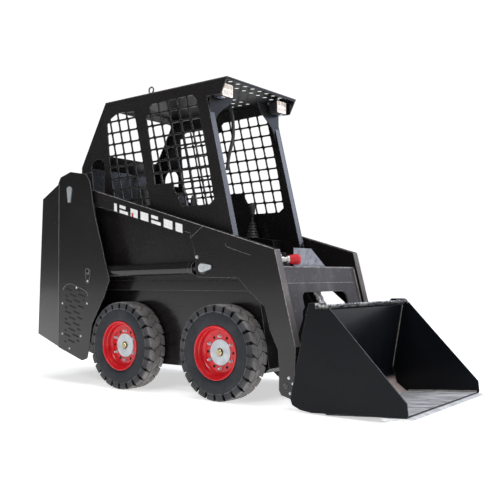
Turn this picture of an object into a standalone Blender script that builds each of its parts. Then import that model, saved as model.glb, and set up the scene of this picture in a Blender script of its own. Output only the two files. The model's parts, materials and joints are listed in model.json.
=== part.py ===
"""Compact skid steer loader: lift arms, bucket, open cab with guarded sides, four driven wheels.

Metres, +Z up, +X forward, +Y to the machine's left.  Every length below is measured from the
front axle (x = 0), the middle plane (y = 0) and the ground (z = 0); the finished machine is then
shifted along X so that the origin lies under the middle of its overall length.
"""
import bpy
import bmesh
from math import cos, hypot, pi, radians, sin
from mathutils import Matrix, Vector

# ---------------------------------------------------------------- driving dimensions
TYRE_RADIUS = 0.270
TYRE_WIDTH = 0.140
RIM_SEAT_RADIUS = 0.152
RIM_LIP_RADIUS = 0.147
WHEEL_SIDES = 32
WHEELBASE = 0.770
WHEEL_FACE_Y = 0.469          # outer face of the tyres
RIM_DISH = 0.055              # how far the wheel disc sits inside the rim lip
RIM_DISC = 0.008
AXLE_RADIUS = 0.034
HUB_RADIUS = 0.072

CHASSIS_HALF = 0.318
CHASSIS_WALL = 0.006
CHASSIS_BOTTOM = 0.160
CHASSIS_TOP = 0.611
CHASSIS_FRONT = 0.266         # lower front corner
CHASSIS_REAR = 1.560          # behind the front axle

RAIL_HEIGHT = 0.060
RAIL_OUTER = CHASSIS_HALF + 0.040
RAIL_INNER = CHASSIS_HALF - 0.018

CAB_HALF = 0.354              # outer face of the cab's side plates
CAB_WALL = 0.006
CAB_TOP = 1.842
CAB_ROOF_FRONT = 0.006
CAB_ROOF_REAR = 1.029
CAB_LEAN = 0.24               # how far the front pillars lean back for each metre of height
CAB_PILLAR_DEPTH = 0.045
ROOF_THICKNESS = 0.010
ROOF_PLATE = 0.004
ROOF_HOLE_ROWS = (-0.052, -0.118, -0.312, -0.378, -0.445)
ROOF_HOLE_PITCH = 0.072
ROOF_HOLE_RADIUS = 0.017
GUARD_PITCH_X = 0.080
GUARD_PITCH_Z = 0.075
GUARD_BAR = 0.011
GUARD_CORNER = 0.009
ARCH_HALF = 0.240
ARCH_TOP = 0.255
ARCH_CORNER = 0.042

TOWER_OUTER = 0.467
TOWER_PLATE = 0.006
TOWER_INNER = RAIL_OUTER + 0.0003     # inner face of the inner plate, against the side rail
REAR_BEND_X = 1.370           # where the tower plate is bent inwards
REAR_TUCK = 0.052             # how far the bent flank comes in

ARM_OUTER = 0.4414
ARM_WIDTH = 0.050
ARM_PLATE = 0.006
ARM_PIVOT = (-1.250, 1.270)
ARM_PIN_RADIUS = 0.020
ARM_TOP_FRONT = (0.394, 0.836)
ARM_TOE = (0.522, 0.324)
BUCKET_PIVOT = (0.460, 0.125)
BUCKET_PIN_RADIUS = 0.014

LIFT_BASE = (-1.064, 0.728)
LIFT_EYE = (-0.105, 0.742)
LIFT_BARREL_RADIUS = 0.0375
LIFT_SIDE_GAP = 0.003         # rod to the inside of the arm
LIFT_ROD_RADIUS = ARM_WIDTH / 2 - ARM_PLATE - LIFT_SIDE_GAP
LIFT_PIN_RADIUS = 0.0145
LIFT_EYE_GAP = 0.005          # eye to the inside of the arm
LIFT_EYE_WIDTH = ARM_WIDTH - 2 * ARM_PLATE - 2 * LIFT_EYE_GAP
LIFT_EYE_RADIUS = 0.028
LIFT_BARREL_LENGTH = 0.885

TILT_TOP = (0.270, 0.690)
TILT_EYE = (0.518, 0.274)
TILT_BARREL_RADIUS = 0.030
TILT_ROD_RADIUS = 0.015
TILT_BARREL_LENGTH = 0.392
TILT_EYE_WIDTH = 0.036
TILT_EYE_RADIUS = 0.022
TILT_PIN_RADIUS = 0.012
TILT_STROKE_IN = 0.0492
COUPLER_RADIUS = 0.017

BUCKET_HALF = 0.457
BUCKET_PLATE = 0.008
EDGE_HALF = 0.467
LIP_X = 1.176                 # tip of the cutting edge
DOOR_HALF = 0.372

SEAT_WIDTH = 0.44
SEAT_FRONT = -0.330
SEAT_TOP = 0.905
SEAT_PAD = 0.100              # thickness of the cushion
SEAT_CORNER = 0.030
SEAT_BACK_HEIGHT = 0.500
FOOT_PLATE_TOP = 0.406
CONSOLE_TOP = 0.946
STICK_X = -0.307
STICK_HEIGHT = 0.236
STICK_FOLDS = 6
BELLOWS_HEIGHT = 0.108
BELLOWS_RADIUS = 0.047
LAMP_SIZE = (0.060, 0.100, 0.078)
LAMP_CENTRE_Z = 1.784
RING_RADIUS = 0.020

FIT = 0.0003                  # gap between pieces that touch
PLAY = 0.0015                 # gap each side of a turning piece
MOVE = 0.006                  # gap beside a piece that sweeps past

REAR_END_X = -1.650
SHIFT = -(LIP_X + REAR_END_X) / 2

# ---------------------------------------------------------------- materials


def paint(name, colour, roughness, metallic):
    material = bpy.data.materials.new(name)
    material.use_nodes = True
    shader = material.node_tree.nodes["Principled BSDF"]
    shader.inputs["Base Color"].default_value = (*colour, 1.0)
    shader.inputs["Roughness"].default_value = roughness
    shader.inputs["Metallic"].default_value = metallic
    material.diffuse_color = (*colour, 1.0)
    return material


def clear_scene():
    for item in list(bpy.data.objects):
        bpy.data.objects.remove(item, do_unlink=True)


clear_scene()
BLACK = paint("black_paint", (0.02, 0.02, 0.023), 0.25, 0.0)
SATIN = paint("satin_black", (0.06, 0.06, 0.065), 0.45, 0.0)
RED = paint("rim_red", (0.60, 0.02, 0.03), 0.35, 0.0)
TYRE = paint("tyre_rubber", (0.05, 0.05, 0.055), 0.85, 0.0)
ZINC = paint("zinc_plate", (0.62, 0.63, 0.65), 0.38, 1.0)
CHROME = paint("chrome_rod", (0.80, 0.80, 0.82), 0.12, 1.0)
WORN = paint("worn_steel", (0.42, 0.42, 0.42), 0.42, 1.0)
SEAT_BLACK = paint("seat_vinyl", (0.025, 0.025, 0.028), 0.6, 0.0)
CAST = paint("engine_iron", (0.10, 0.10, 0.11), 0.6, 0.3)
LAMP = paint("lamp_lens", (0.85, 0.83, 0.76), 0.3, 0.0)
RUBBER = paint("grip_rubber", (0.02, 0.02, 0.02), 0.7, 0.0)

# ---------------------------------------------------------------- geometry helpers
AXES = {"X": (1, 2, 0), "Y": (0, 2, 1), "Z": (0, 1, 2)}


def new_object(name, mesh, material, pivot=(0.0, 0.0, 0.0)):
    """Put a mesh, drawn in axle coordinates, on an object whose origin is the pivot."""
    mesh.transform(Matrix.Translation(-Vector(pivot)))
    thing = bpy.data.objects.new(name, mesh)
    thing.location = Vector(pivot) + Vector((SHIFT, 0.0, 0.0))
    bpy.context.collection.objects.link(thing)
    if material is None:
        thing.hide_render = True
        thing.display_type = "WIRE"
    else:
        mesh.materials.append(material)
    return thing


def finish_mesh(work, name):
    bmesh.ops.recalc_face_normals(work, faces=work.faces)
    mesh = bpy.data.meshes.new(name)
    work.to_mesh(mesh)
    work.free()
    return mesh


def prism(name, outline, axis, low, high, material=None, holes=(), pivot=(0.0, 0.0, 0.0)):
    """Extrude a flat outline, less its holes, along an axis from low to high."""
    first, second, along = AXES[axis]
    work = bmesh.new()
    edges = []
    for loop in [outline, *holes]:
        row = []
        for u, v in loop:
            place = [0.0, 0.0, 0.0]
            place[first], place[second], place[along] = u, v, low
            row.append(work.verts.new(place))
        edges += [work.edges.new((row[index - 1], row[index])) for index in range(len(row))]
    bmesh.ops.triangle_fill(work, use_beauty=True, use_dissolve=False, edges=edges)
    raised = bmesh.ops.extrude_face_region(work, geom=list(work.faces), use_keep_orig=True)
    offset = Vector((0.0, 0.0, 0.0))
    offset[along] = high - low
    moved = [item for item in raised["geom"] if isinstance(item, bmesh.types.BMVert)]
    bmesh.ops.translate(work, verts=moved, vec=offset)
    return new_object(name, finish_mesh(work, name), material, pivot)


def box(name, low, high, material=None, pivot=(0.0, 0.0, 0.0)):
    outline = [(low[0], low[2]), (high[0], low[2]), (high[0], high[2]), (low[0], high[2])]
    return prism(name, outline, "Y", low[1], high[1], material, pivot=pivot)


def arc(centre, radius, start, end, steps):
    """Points on an arc, angles in degrees."""
    points = []
    for step in range(steps + 1):
        angle = radians(start + (end - start) * step / steps)
        points.append((centre[0] + radius * cos(angle), centre[1] + radius * sin(angle)))
    return points


def rounded(points, radius, steps=3):
    """Replace each corner by an arc that touches both of its sides."""
    smooth = []
    count = len(points)
    for index, corner in enumerate(points):
        here = Vector(corner)
        back = Vector(points[index - 1]) - here
        ahead = Vector(points[(index + 1) % count]) - here
        turn = back.angle(ahead)
        reach = radius / max(0.05, (1 - cos(turn)) / sin(turn))
        reach = min(reach, 0.45 * back.length, 0.45 * ahead.length)
        a, b = here + back.normalized() * reach, here + ahead.normalized() * reach
        for step in range(steps + 1):
            t = step / steps
            spot = a.lerp(here, t).lerp(here.lerp(b, t), t)
            smooth.append((spot.x, spot.y))
    return smooth


def inset(points, distance):
    """Move every side of a closed outline inwards by the same distance."""
    area = sum(p[0] * q[1] - q[0] * p[1] for p, q in zip(points, points[1:] + points[:1]))
    turn = 1 if area > 0 else -1
    count = len(points)
    moved = []
    for index in range(count):
        a, b, c = points[index - 1], points[index], points[(index + 1) % count]
        one = Vector((b[0] - a[0], b[1] - a[1])).normalized()
        two = Vector((c[0] - b[0], c[1] - b[1])).normalized()
        normal = Vector((-one.y, one.x)) * turn
        other = Vector((-two.y, two.x)) * turn
        share = distance / max(0.2, 1 + normal.dot(other))
        moved.append((b[0] + (normal.x + other.x) * share, b[1] + (normal.y + other.y) * share))
    return moved


def clip(polygon, convex):
    """The part of a polygon that lies inside a convex outline drawn anticlockwise."""
    kept = list(polygon)
    for a, b in zip(convex, convex[1:] + convex[:1]):
        side = [(b[0] - a[0]) * (p[1] - a[1]) - (b[1] - a[1]) * (p[0] - a[0]) for p in kept]
        result = []
        for index, point in enumerate(kept):
            last = index - 1
            if (side[index] >= 0) != (side[last] >= 0):
                t = side[last] / (side[last] - side[index])
                before = kept[last]
                result.append((before[0] + (point[0] - before[0]) * t,
                               before[1] + (point[1] - before[1]) * t))
            if side[index] >= 0:
                result.append(point)
        kept = result
        if len(kept) < 3:
            return []
    return [p for p, q in zip(kept, kept[1:] + kept[:1]) if hypot(p[0] - q[0], p[1] - q[1]) > 0.0015]


def polygon_area(points):
    pairs = zip(points, points[1:] + points[:1])
    return abs(sum(p[0] * q[1] - q[0] * p[1] for p, q in pairs)) / 2


def turned(name, profile, centre, direction, sides, material=None, pivot=(0.0, 0.0, 0.0)):
    """Turn a closed profile of (radius, distance along the direction) about a line."""
    work = bmesh.new()
    rings = []
    frame = Vector(direction).normalized().to_track_quat("Z", "Y").to_matrix()
    for step in range(sides):
        angle = 2 * pi * step / sides
        ring = []
        for radius, along in profile:
            spot = frame @ Vector((radius * cos(angle), radius * sin(angle), along))
            ring.append(work.verts.new(spot + Vector(centre)) if radius > 1e-9 or step == 0
                        else rings[0][len(ring)])
        rings.append(ring)
    count = len(profile)
    for step in range(sides):
        one, two = rings[step], rings[(step + 1) % sides]
        for index in range(count):
            after = (index + 1) % count
            corners = [one[index], one[after], two[after], two[index]]
            corners = list(dict.fromkeys(corners))
            if len(corners) > 2:
                work.faces.new(corners)
    mesh = finish_mesh(work, name)
    mesh.shade_smooth()
    mesh.set_sharp_from_angle(angle=radians(35))
    return new_object(name, mesh, material, pivot)


def rod(name, start, end, radius, sides=20, material=None, pivot=(0.0, 0.0, 0.0)):
    span = (Vector(end) - Vector(start)).length
    profile = [(0, 0), (radius, 0), (radius, span), (0, span)]
    return turned(name, profile, start, Vector(end) - Vector(start), sides, material, pivot)


def combine(target, tool, operation):
    step = target.modifiers.new(operation.lower(), "BOOLEAN")
    step.operation = operation
    step.solver = "EXACT"
    step.object = tool
    return target


def cut(target, tool):
    return combine(target, tool, "DIFFERENCE")


def weld(target, tool):
    return combine(target, tool, "UNION")


def spot(plane_point, y):
    """A point of the side view, at the given distance across."""
    return (plane_point[0], y, plane_point[1])


def span(side, inner, outer):
    """Lowest and highest y of a band between two distances from the middle, on one side."""
    return (inner, outer) if side > 0 else (-outer, -inner)


SIDES = (("right", -1), ("left", 1))

# ---------------------------------------------------------------- chassis
TUB = [(-CHASSIS_REAR, 0.285), (-1.100, CHASSIS_BOTTOM), (CHASSIS_FRONT - 0.030, CHASSIS_BOTTOM),
       (CHASSIS_FRONT, 0.185), (0.200, CHASSIS_TOP), (-CHASSIS_REAR, CHASSIS_TOP)]


def make_chassis():
    tub = prism("chassis_tub", TUB, "Y", -CHASSIS_HALF, CHASSIS_HALF, BLACK)
    hollow = inset(TUB, CHASSIS_WALL)
    hollow[4] = (hollow[4][0], CHASSIS_TOP + 0.02)
    hollow[5] = (hollow[5][0], CHASSIS_TOP + 0.02)
    half = CHASSIS_HALF - CHASSIS_WALL
    cut(tub, prism("tub_hollow", hollow, "Y", -half, half))
    for label, x in (("front", 0.0), ("rear", -WHEELBASE)):
        hole = rod("tub_bore_" + label, (x, -0.5, TYRE_RADIUS), (x, 0.5, TYRE_RADIUS), AXLE_RADIUS + PLAY, 24)
        cut(tub, hole)
    for label, side in SIDES:
        low, high = span(side, RAIL_INNER, RAIL_OUTER)
        bottom = CHASSIS_TOP + FIT
        box("side_rail_" + label, (-1.060, low, bottom), (0.150, high, bottom + RAIL_HEIGHT), SATIN)


def make_axle(label, x):
    """A through shaft with a bearing flange against each chassis side."""
    reach = WHEEL_FACE_Y - RIM_DISH - RIM_DISC - 2 * FIT
    flange = CHASSIS_HALF + FIT
    half = [(0, 0), (AXLE_RADIUS, 0), (AXLE_RADIUS, flange), (HUB_RADIUS, flange),
            (HUB_RADIUS, flange + 0.010), (AXLE_RADIUS + 0.012, flange + 0.018),
            (AXLE_RADIUS + 0.012, reach), (0, reach)]
    other = [(radius, -along) for radius, along in reversed(half[1:-1])]
    profile = half[1:] + [(0, -reach)] + other[:-1]
    turned("axle_" + label, profile, (x, 0, TYRE_RADIUS), (0, 1, 0), 24, CAST)


# ---------------------------------------------------------------- wheels
def make_wheel(label, x, side):
    centre = (x, side * WHEEL_FACE_Y, TYRE_RADIUS)
    inward = (0, -side, 0)
    shoulder = 0.022
    seat = RIM_SEAT_RADIUS
    tyre = [(seat + FIT, 0.004), (0.228, 0.0), (TYRE_RADIUS - 0.016, 0.004), (TYRE_RADIUS, shoulder),
            (TYRE_RADIUS, TYRE_WIDTH - shoulder), (TYRE_RADIUS - 0.016, TYRE_WIDTH - 0.004),
            (0.228, TYRE_WIDTH), (seat + FIT, TYRE_WIDTH - 0.004)]
    turned("tyre_" + label, tyre, centre, inward, WHEEL_SIDES, TYRE, centre)
    inner = RIM_LIP_RADIUS - 0.010
    back = RIM_DISH + RIM_DISC
    rim = [(seat, 0.004), (seat, TYRE_WIDTH - 0.004), (inner, TYRE_WIDTH - 0.004),
           (inner - 0.006, back + 0.012), (inner - 0.030, back), (0, back), (0, RIM_DISH), (inner - 0.034, RIM_DISH),
           (inner - 0.012, RIM_DISH - 0.010), (inner, 0.002)]
    turned("wheel_rim_" + label, rim, centre, inward, WHEEL_SIDES, RED, centre)


# ---------------------------------------------------------------- towers, engine bay, rear
TOWER = [(-1.071, 0.172), (-1.061, 0.215), (-1.028, 0.390), (-0.915, 0.564), (-0.860, 0.676),
         (-1.003, 1.100), (-1.047, 1.309), (-1.086, 1.364), (-1.243, 1.392), (-1.347, 1.364),
         (-REAR_BEND_X, 1.323), (-REAR_BEND_X, 0.232), (-1.120, 0.157)]
FLANK = [(-REAR_BEND_X, 1.323), (-REAR_BEND_X, 0.232), (REAR_END_X, 0.305), (-1.590, 1.237)]
INNER_PLATE = [(-1.062, CHASSIS_TOP + FIT), (-1.062, 0.690), (-1.090, 0.900), (-1.150, 1.392),
               (-1.243, 1.392), (-1.347, 1.364), (-1.364, 1.323), (-1.364, CHASSIS_TOP + FIT)]


def make_flank(name, side):
    """The rear part of the tower plate, bent towards the middle, with a lap inside the front part."""
    work = bmesh.new()
    rows = []
    lap = 0.010
    for offset in (0.0, TOWER_PLATE):
        row = []
        for x, z in FLANK:
            if x == -REAR_BEND_X:
                x, z = x + lap, z + (0.8 - z) * 0.004
            share = (-REAR_BEND_X - x) / (-REAR_BEND_X - REAR_END_X)
            y = TOWER_OUTER - REAR_TUCK * share - offset
            row.append(work.verts.new((x, side * y, z)))
        rows.append(row)
        work.faces.new(row)
    for index in range(len(FLANK)):
        after = (index + 1) % len(FLANK)
        work.faces.new((rows[0][index], rows[0][after], rows[1][after], rows[1][index]))
    return new_object(name, finish_mesh(work, name), None)


def make_tower(label, side):
    low, high = span(side, TOWER_OUTER - TOWER_PLATE, TOWER_OUTER)
    tower = prism("tower_" + label, rounded(TOWER, 0.018, 2), "Y", low, high, BLACK)
    weld(tower, make_flank("flank_" + label, side))
    low, high = span(side, TOWER_INNER, TOWER_INNER + TOWER_PLATE)
    weld(tower, prism("tower_inner_" + label, INNER_PLATE, "Y", low, high))
    low, high = span(side, TOWER_INNER + 0.001, TOWER_OUTER - 0.001)
    web = [(-1.366, CHASSIS_TOP + 0.004), (-1.354, CHASSIS_TOP + 0.004), (-1.354, 1.340), (-1.366, 1.330)]
    weld(tower, prism("tower_web_" + label, web, "Y", low, high))
    low, high = span(side, CHASSIS_HALF + FIT, TOWER_OUTER - 0.0015)
    lap = CHASSIS_TOP + 0.010
    lower_web = [(-1.3655, 0.240), (-1.3545, 0.240), (-1.3545, lap), (-1.3655, lap)]
    weld(tower, prism("tower_lower_web_" + label, lower_web, "Y", low, high))
    low, high = span(side, TOWER_INNER + 0.002, TOWER_OUTER - 0.002)
    shelf = [(-1.360, 0.640), (-1.130, 0.640), (-1.130, 0.652), (-1.360, 0.652)]
    weld(tower, prism("tower_shelf_" + label, shelf, "Y", low, high))
    weld(tower, rod("lift_base_pin_" + label, spot(LIFT_BASE, side * (TOWER_INNER + 0.001)),
                    spot(LIFT_BASE, side * (TOWER_OUTER + 0.004)), LIFT_PIN_RADIUS))
    cut(tower, rod("tower_bore_" + label, spot(ARM_PIVOT, side * 0.2), spot(ARM_PIVOT, side * 0.6),
                   ARM_PIN_RADIUS + FIT))
    return tower


def make_arm_pin(label, side):
    """The pin of an arm, with the drop-shaped keeper plate that stops it turning."""
    start, end = TOWER_INNER - 0.004, TOWER_OUTER + 0.002
    pin = rod("arm_pin_" + label, spot(ARM_PIVOT, side * start), spot(ARM_PIVOT, side * end),
              ARM_PIN_RADIUS, 24, ZINC)
    low, high = span(side, TOWER_OUTER + FIT, TOWER_OUTER + 0.006)
    x, z = ARM_PIVOT
    keeper = arc((x, z), 0.026, 20, 160, 6) + [(x - 0.012, z - 0.080)] + [(x + 0.012, z - 0.080)]
    weld(pin, prism("keeper_" + label, keeper, "Y", low, high))


def make_rear():
    """Engine block, its cover, the framed rear door and the counterweight between the flanks."""
    box("engine_block", (-1.470, -0.230, 0.310), (-1.080, 0.230, 0.900), CAST)
    step = -1.3665 - FIT
    inner, outer = TOWER_INNER - FIT, 0.455
    cover = [(-1.264, -inner), (-1.264, inner), (step, inner), (step, outer), (-1.565, outer - 0.036),
             (-1.565, -outer + 0.036), (step, -outer), (step, -inner)]
    prism("engine_cover", cover, "Z", 1.186, 1.192, BLACK)
    wide, high, low = 0.418, 1.186 - FIT, 0.465
    frame = [(-wide, low), (wide, low), (wide, high), (-wide, high)]
    opening = [(-0.345, 0.500), (0.345, 0.500), (0.345, 1.150), (-0.345, 1.150)]
    prism("rear_frame", frame, "X", -1.5690, -1.5630, BLACK, [opening])
    weight = [(-1.560 - FIT, 0.300), (-1.630, 0.325), (-1.630, 0.460), (-1.560 - FIT, 0.460)]
    prism("counterweight", weight, "Y", -0.386, 0.386, CAST)
    hinge = (-1.5770, DOOR_HALF, 0.0)
    low, high = 0.478, 1.176
    door = rounded([(-DOOR_HALF, low), (DOOR_HALF, low), (DOOR_HALF, high), (-DOOR_HALF, high)], 0.03, 3)
    louvres = []
    for row in range(6):
        height = 0.640 + 0.070 * row
        louvres.append([(-0.20, height), (0.20, height), (0.20, height + 0.018), (-0.20, height + 0.018)])
    prism("rear_door", door, "X", -1.5770, -1.5705, BLACK, louvres, pivot=hinge)


# ---------------------------------------------------------------- cab
def pillar_x(z):
    """Front edge of the cab's leaning pillar at a height."""
    return 0.045 + (0.944 - z) * CAB_LEAN


RAIL_TOP = CHASSIS_TOP + FIT + RAIL_HEIGHT + FIT
SIDE_TOP = CAB_TOP - ROOF_PLATE - FIT
CAB_SIDE = [(-1.258, RAIL_TOP), (pillar_x(RAIL_TOP), RAIL_TOP), (pillar_x(1.750), 1.750),
            (CAB_ROOF_FRONT - 0.048, 1.747), (CAB_ROOF_FRONT, SIDE_TOP), (-CAB_ROOF_REAR, SIDE_TOP),
            (-1.264, 1.434)]
REAR_WINDOW = [(-0.955, 1.140), (-0.594, 1.140), (-0.708, 1.650), (-0.722, 1.715), (-0.760, 1.745),
               (-0.917, 1.757), (-1.015, 1.715)]
WINDOW_SILL = 1.258           # below it the front window is cut back by a slanting edge
FRONT_WINDOW = [(-0.570, WINDOW_SILL), (-0.118, WINDOW_SILL), (-0.212, 1.725), (-0.262, 1.775),
                (-0.600, 1.768), (-0.655, 1.725)]
LOW_WINDOW = [(-0.433, WINDOW_SILL), (-0.344, 1.114), (-0.141, 1.106), (-0.094, 1.140), (-0.118, WINDOW_SILL)]
PORT = (-1.100, 1.410)
PORT_RADIUS = 0.068
PORT_FOOT = 1.250


def guard_holes(window, phase):
    """Leaning square holes that fill a window, cut off where the window ends."""
    holes = []
    x_low, x_high = -1.30, 0.20
    below = int((WINDOW_SILL - min(z for x, z in window)) / GUARD_PITCH_Z) + 1
    above = int((max(z for x, z in window) - WINDOW_SILL) / GUARD_PITCH_Z) + 1
    columns = int((x_high - x_low) / GUARD_PITCH_X) + 2
    wide, tall = GUARD_PITCH_X - GUARD_BAR, GUARD_PITCH_Z - GUARD_BAR
    for row in range(-below, above):
        z = WINDOW_SILL + GUARD_BAR / 2 + row * GUARD_PITCH_Z
        for column in range(columns):
            x = x_low + column * GUARD_PITCH_X + phase
            corners = [(0, 0), (wide, 0), (wide, tall), (0, tall)]
            cell = [(x + u - (z + v - WINDOW_SILL) * CAB_LEAN, z + v) for u, v in corners]
            cell = clip(cell, window)
            if cell and polygon_area(cell) > 0.25 * wide * tall:
                holes.append(rounded(cell, GUARD_CORNER, 2))
    return holes


def make_cab_side(label, side):
    low, high = span(side, CAB_HALF - CAB_WALL, CAB_HALF)
    port = arc(PORT, PORT_RADIUS, 0, 180, 8)
    port += [(PORT[0] - PORT_RADIUS, PORT_FOOT), (PORT[0] + PORT_RADIUS, PORT_FOOT)]
    holes = guard_holes(REAR_WINDOW, 0.030) + [port]
    for window in (FRONT_WINDOW, LOW_WINDOW):
        holes += guard_holes(window, 0.0)
    panel = prism("cab_side_" + label, CAB_SIDE, "Y", low, high, BLACK, holes)
    low, high = span(side, CAB_HALF - CAB_PILLAR_DEPTH, CAB_HALF - 0.001)
    foot, head, skin = RAIL_TOP + 0.001, 1.745, 0.001
    pillar = [(pillar_x(foot) - CAB_WALL - skin, foot), (pillar_x(foot) - skin, foot),
              (pillar_x(head) - skin, head), (pillar_x(head) - CAB_WALL - skin, head)]
    weld(panel, prism("cab_pillar_" + label, pillar, "Y", low, high))


def make_cab():
    for label, side in SIDES:
        make_cab_side(label, side)
    half = CAB_HALF - CAB_WALL - FIT
    top, under = CAB_TOP, CAB_TOP - ROOF_THICKNESS
    holes = []
    for x in ROOF_HOLE_ROWS:
        for column in range(-4, 4):
            centre = (x, (column + 0.5) * ROOF_HOLE_PITCH)
            holes.append(arc(centre, ROOF_HOLE_RADIUS, 22.5, 337.5, 7))
    roof = [(-CAB_ROOF_REAR, -CAB_HALF), (CAB_ROOF_FRONT, -CAB_HALF), (CAB_ROOF_FRONT, CAB_HALF),
            (-CAB_ROOF_REAR, CAB_HALF)]
    panel = prism("cab_roof", roof, "Z", top - ROOF_PLATE, top, BLACK, holes)
    lip = [(CAB_ROOF_FRONT - 0.001, under - 0.006), (CAB_ROOF_FRONT - 0.001, top - 0.002),
           (CAB_ROOF_FRONT - 0.005, top - 0.002), (CAB_ROOF_FRONT - 0.014, under - 0.006)]
    weld(panel, prism("roof_lip", lip, "Y", -half, half))
    seat = top - ROOF_PLATE - FIT
    rear = [(-CAB_ROOF_REAR, seat), (-CAB_ROOF_REAR - 0.231, 1.437), (-1.254, 1.192 + FIT),
            (-1.248, 1.192 + FIT), (-CAB_ROOF_REAR - 0.225, 1.437), (-CAB_ROOF_REAR + 0.007, seat)]
    back = prism("cab_rear_panel", rear, "Y", -half, half, BLACK)
    window = [(-0.300, 1.530), (0.300, 1.530), (0.300, 1.800), (-0.300, 1.800)]
    cut(back, prism("rear_window_cut", rounded(window, 0.03, 3), "X", -1.4, -0.9))
    inner = CHASSIS_HALF - CHASSIS_WALL - FIT
    box("foot_plate", (-0.860, -inner, FOOT_PLATE_TOP - 0.006), (0.215, inner, FOOT_PLATE_TOP), SATIN)
    inner = RAIL_INNER - FIT
    box("engine_bulkhead", (-0.990, -inner, 0.180), (-0.984, inner, 1.100), BLACK)
    for label, side in SIDES:
        x = CAB_ROOF_FRONT - 0.062
        low, high = span(side, 0.226, 0.226 + LAMP_SIZE[1])
        foot, head = LAMP_CENTRE_Z - LAMP_SIZE[2] / 2, LAMP_CENTRE_Z + LAMP_SIZE[2] / 2
        lamp = rounded([(low, foot), (high, foot), (high, head), (low, head)], 0.012, 2)
        prism("work_light_" + label, lamp, "X", x - LAMP_SIZE[0], x, LAMP)


def make_lifting_eye(label, side):
    """A ring standing on the roof, in the machine's length."""
    foot = (-0.640, side * 0.318, CAB_TOP + FIT)
    pad = box("lifting_eye_" + label, (foot[0] - 0.018, foot[1] - 0.014, foot[2]),
              (foot[0] + 0.018, foot[1] + 0.014, foot[2] + 0.008), SATIN)
    bar = 0.005
    profile = [(RING_RADIUS + bar * cos(radians(a)), bar * sin(radians(a))) for a in range(0, 360, 60)]
    ring = turned("lifting_ring_" + label, profile, (foot[0], foot[1], foot[2] + 0.008 + RING_RADIUS),
                  (0, 1, 0), 16)
    weld(pad, ring)


# ---------------------------------------------------------------- driver's place
def make_seat():
    half = SEAT_WIDTH / 2
    front, top = SEAT_FRONT, SEAT_TOP
    floor, bed, rear = FOOT_PLATE_TOP + FIT, top - SEAT_PAD, front - 0.440
    base = [(rear, floor), (front - 0.040, floor), (front, bed), (rear, bed)]
    prism("seat_base", base, "Y", -half + 0.020, half - 0.020, BLACK)
    bottom, rear, nose = bed + FIT, front - 0.420, front + 0.020
    cushion = rounded([(rear, bottom), (nose, bottom), (nose, top), (rear, top - 0.020)], SEAT_CORNER, 3)
    prism("seat_cushion", cushion, "Y", -half, half, SEAT_BLACK)
    x, head = rear - 0.005, bottom + SEAT_BACK_HEIGHT
    back = [(x - 0.020, bottom), (x, bottom + 0.020), (x - 0.070, head), (x - 0.150, head), (x - 0.100, bottom)]
    prism("seat_back", rounded(back, SEAT_CORNER, 3), "Y", -half, half, SEAT_BLACK)


def make_controls(label, side):
    inner, outer = 0.232, CAB_HALF - CAB_WALL - FIT
    low, high = span(side, inner, outer)
    rear, foot = -0.700, 0.680
    console = [(rear, foot), (-0.060, foot), (-0.100, 0.925), (-0.240, CONSOLE_TOP), (rear, CONSOLE_TOP)]
    prism("console_" + label, console, "Y", low, high, BLACK)
    foot = (STICK_X, side * (inner + outer) / 2, CONSOLE_TOP + FIT)
    profile = [(0, 0)]
    for fold in range(STICK_FOLDS):
        along = BELLOWS_HEIGHT * (fold + 1) / STICK_FOLDS
        wide = BELLOWS_RADIUS - 0.028 * fold / STICK_FOLDS
        profile += [(wide, along - 0.012), (wide - 0.007, along)]
    profile += [(0.009, BELLOWS_HEIGHT + 0.004), (0.009, 0.140), (0.017, 0.158), (0.021, 0.205),
                (0.014, STICK_HEIGHT), (0, STICK_HEIGHT)]
    turned("joystick_" + label, profile, foot, (0, 0, 1), 16, RUBBER)


# ---------------------------------------------------------------- lift arms
ARM = [(-1.276, 1.296), (-1.290, 1.262), (-1.274, 1.226), (-1.200, 1.197), (-0.203, 0.945), (-0.172, 0.846),
       (-0.150, 0.690), (0.148, 0.684), (0.230, 0.609), (0.330, 0.530), (0.361, 0.410), (0.412, 0.308),
       (0.418, 0.215), (0.416, 0.100), (0.430, 0.075), (0.486, 0.061), (0.512, 0.110), ARM_TOE, ARM_TOP_FRONT,
       (-1.220, 1.309)]
ARM_MIDDLE = ARM_OUTER - ARM_WIDTH / 2


def on_line(a, b, x):
    """Height of the line through two points at a distance ahead."""
    return a[1] + (b[1] - a[1]) * (x - a[0]) / (b[0] - a[0])


def arm_cavity():
    """Inside of the hollow arm, open below and behind where the lift rod comes in."""
    skin = inset(ARM, ARM_PLATE)
    rear, heel = -1.100, -0.203
    beam = [(rear, on_line(skin[3], skin[4], rear)), (heel, on_line(skin[3], skin[4], heel))]
    mouth = [(-0.240, 0.850), (-0.240, 0.600), (0.140, 0.600)]
    toe = [(0.424, 0.330), (0.506, 0.326), skin[18]]
    return beam + mouth + skin[8:11] + toe + [(rear, on_line(skin[18], skin[19], rear))]


def make_arm(label, side, pivot):
    low, high = span(side, ARM_OUTER - ARM_WIDTH, ARM_OUTER)
    arm = prism("lift_arm_" + label, ARM, "Y", low, high, BLACK, pivot=pivot)
    low, high = span(side, ARM_OUTER - ARM_WIDTH + ARM_PLATE, ARM_OUTER - ARM_PLATE)
    cut(arm, prism("arm_cavity_" + label, arm_cavity(), "Y", low, high))
    cut(arm, rod("arm_bore_" + label, spot(ARM_PIVOT, side * 0.2), spot(ARM_PIVOT, side * 0.6),
                 ARM_PIN_RADIUS + 2 * FIT, 24))
    cut(arm, rod("arm_toe_bore_" + label, spot(BUCKET_PIVOT, side * 0.2), spot(BUCKET_PIVOT, side * 0.6),
                 BUCKET_PIN_RADIUS + 2 * FIT, 20))


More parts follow.
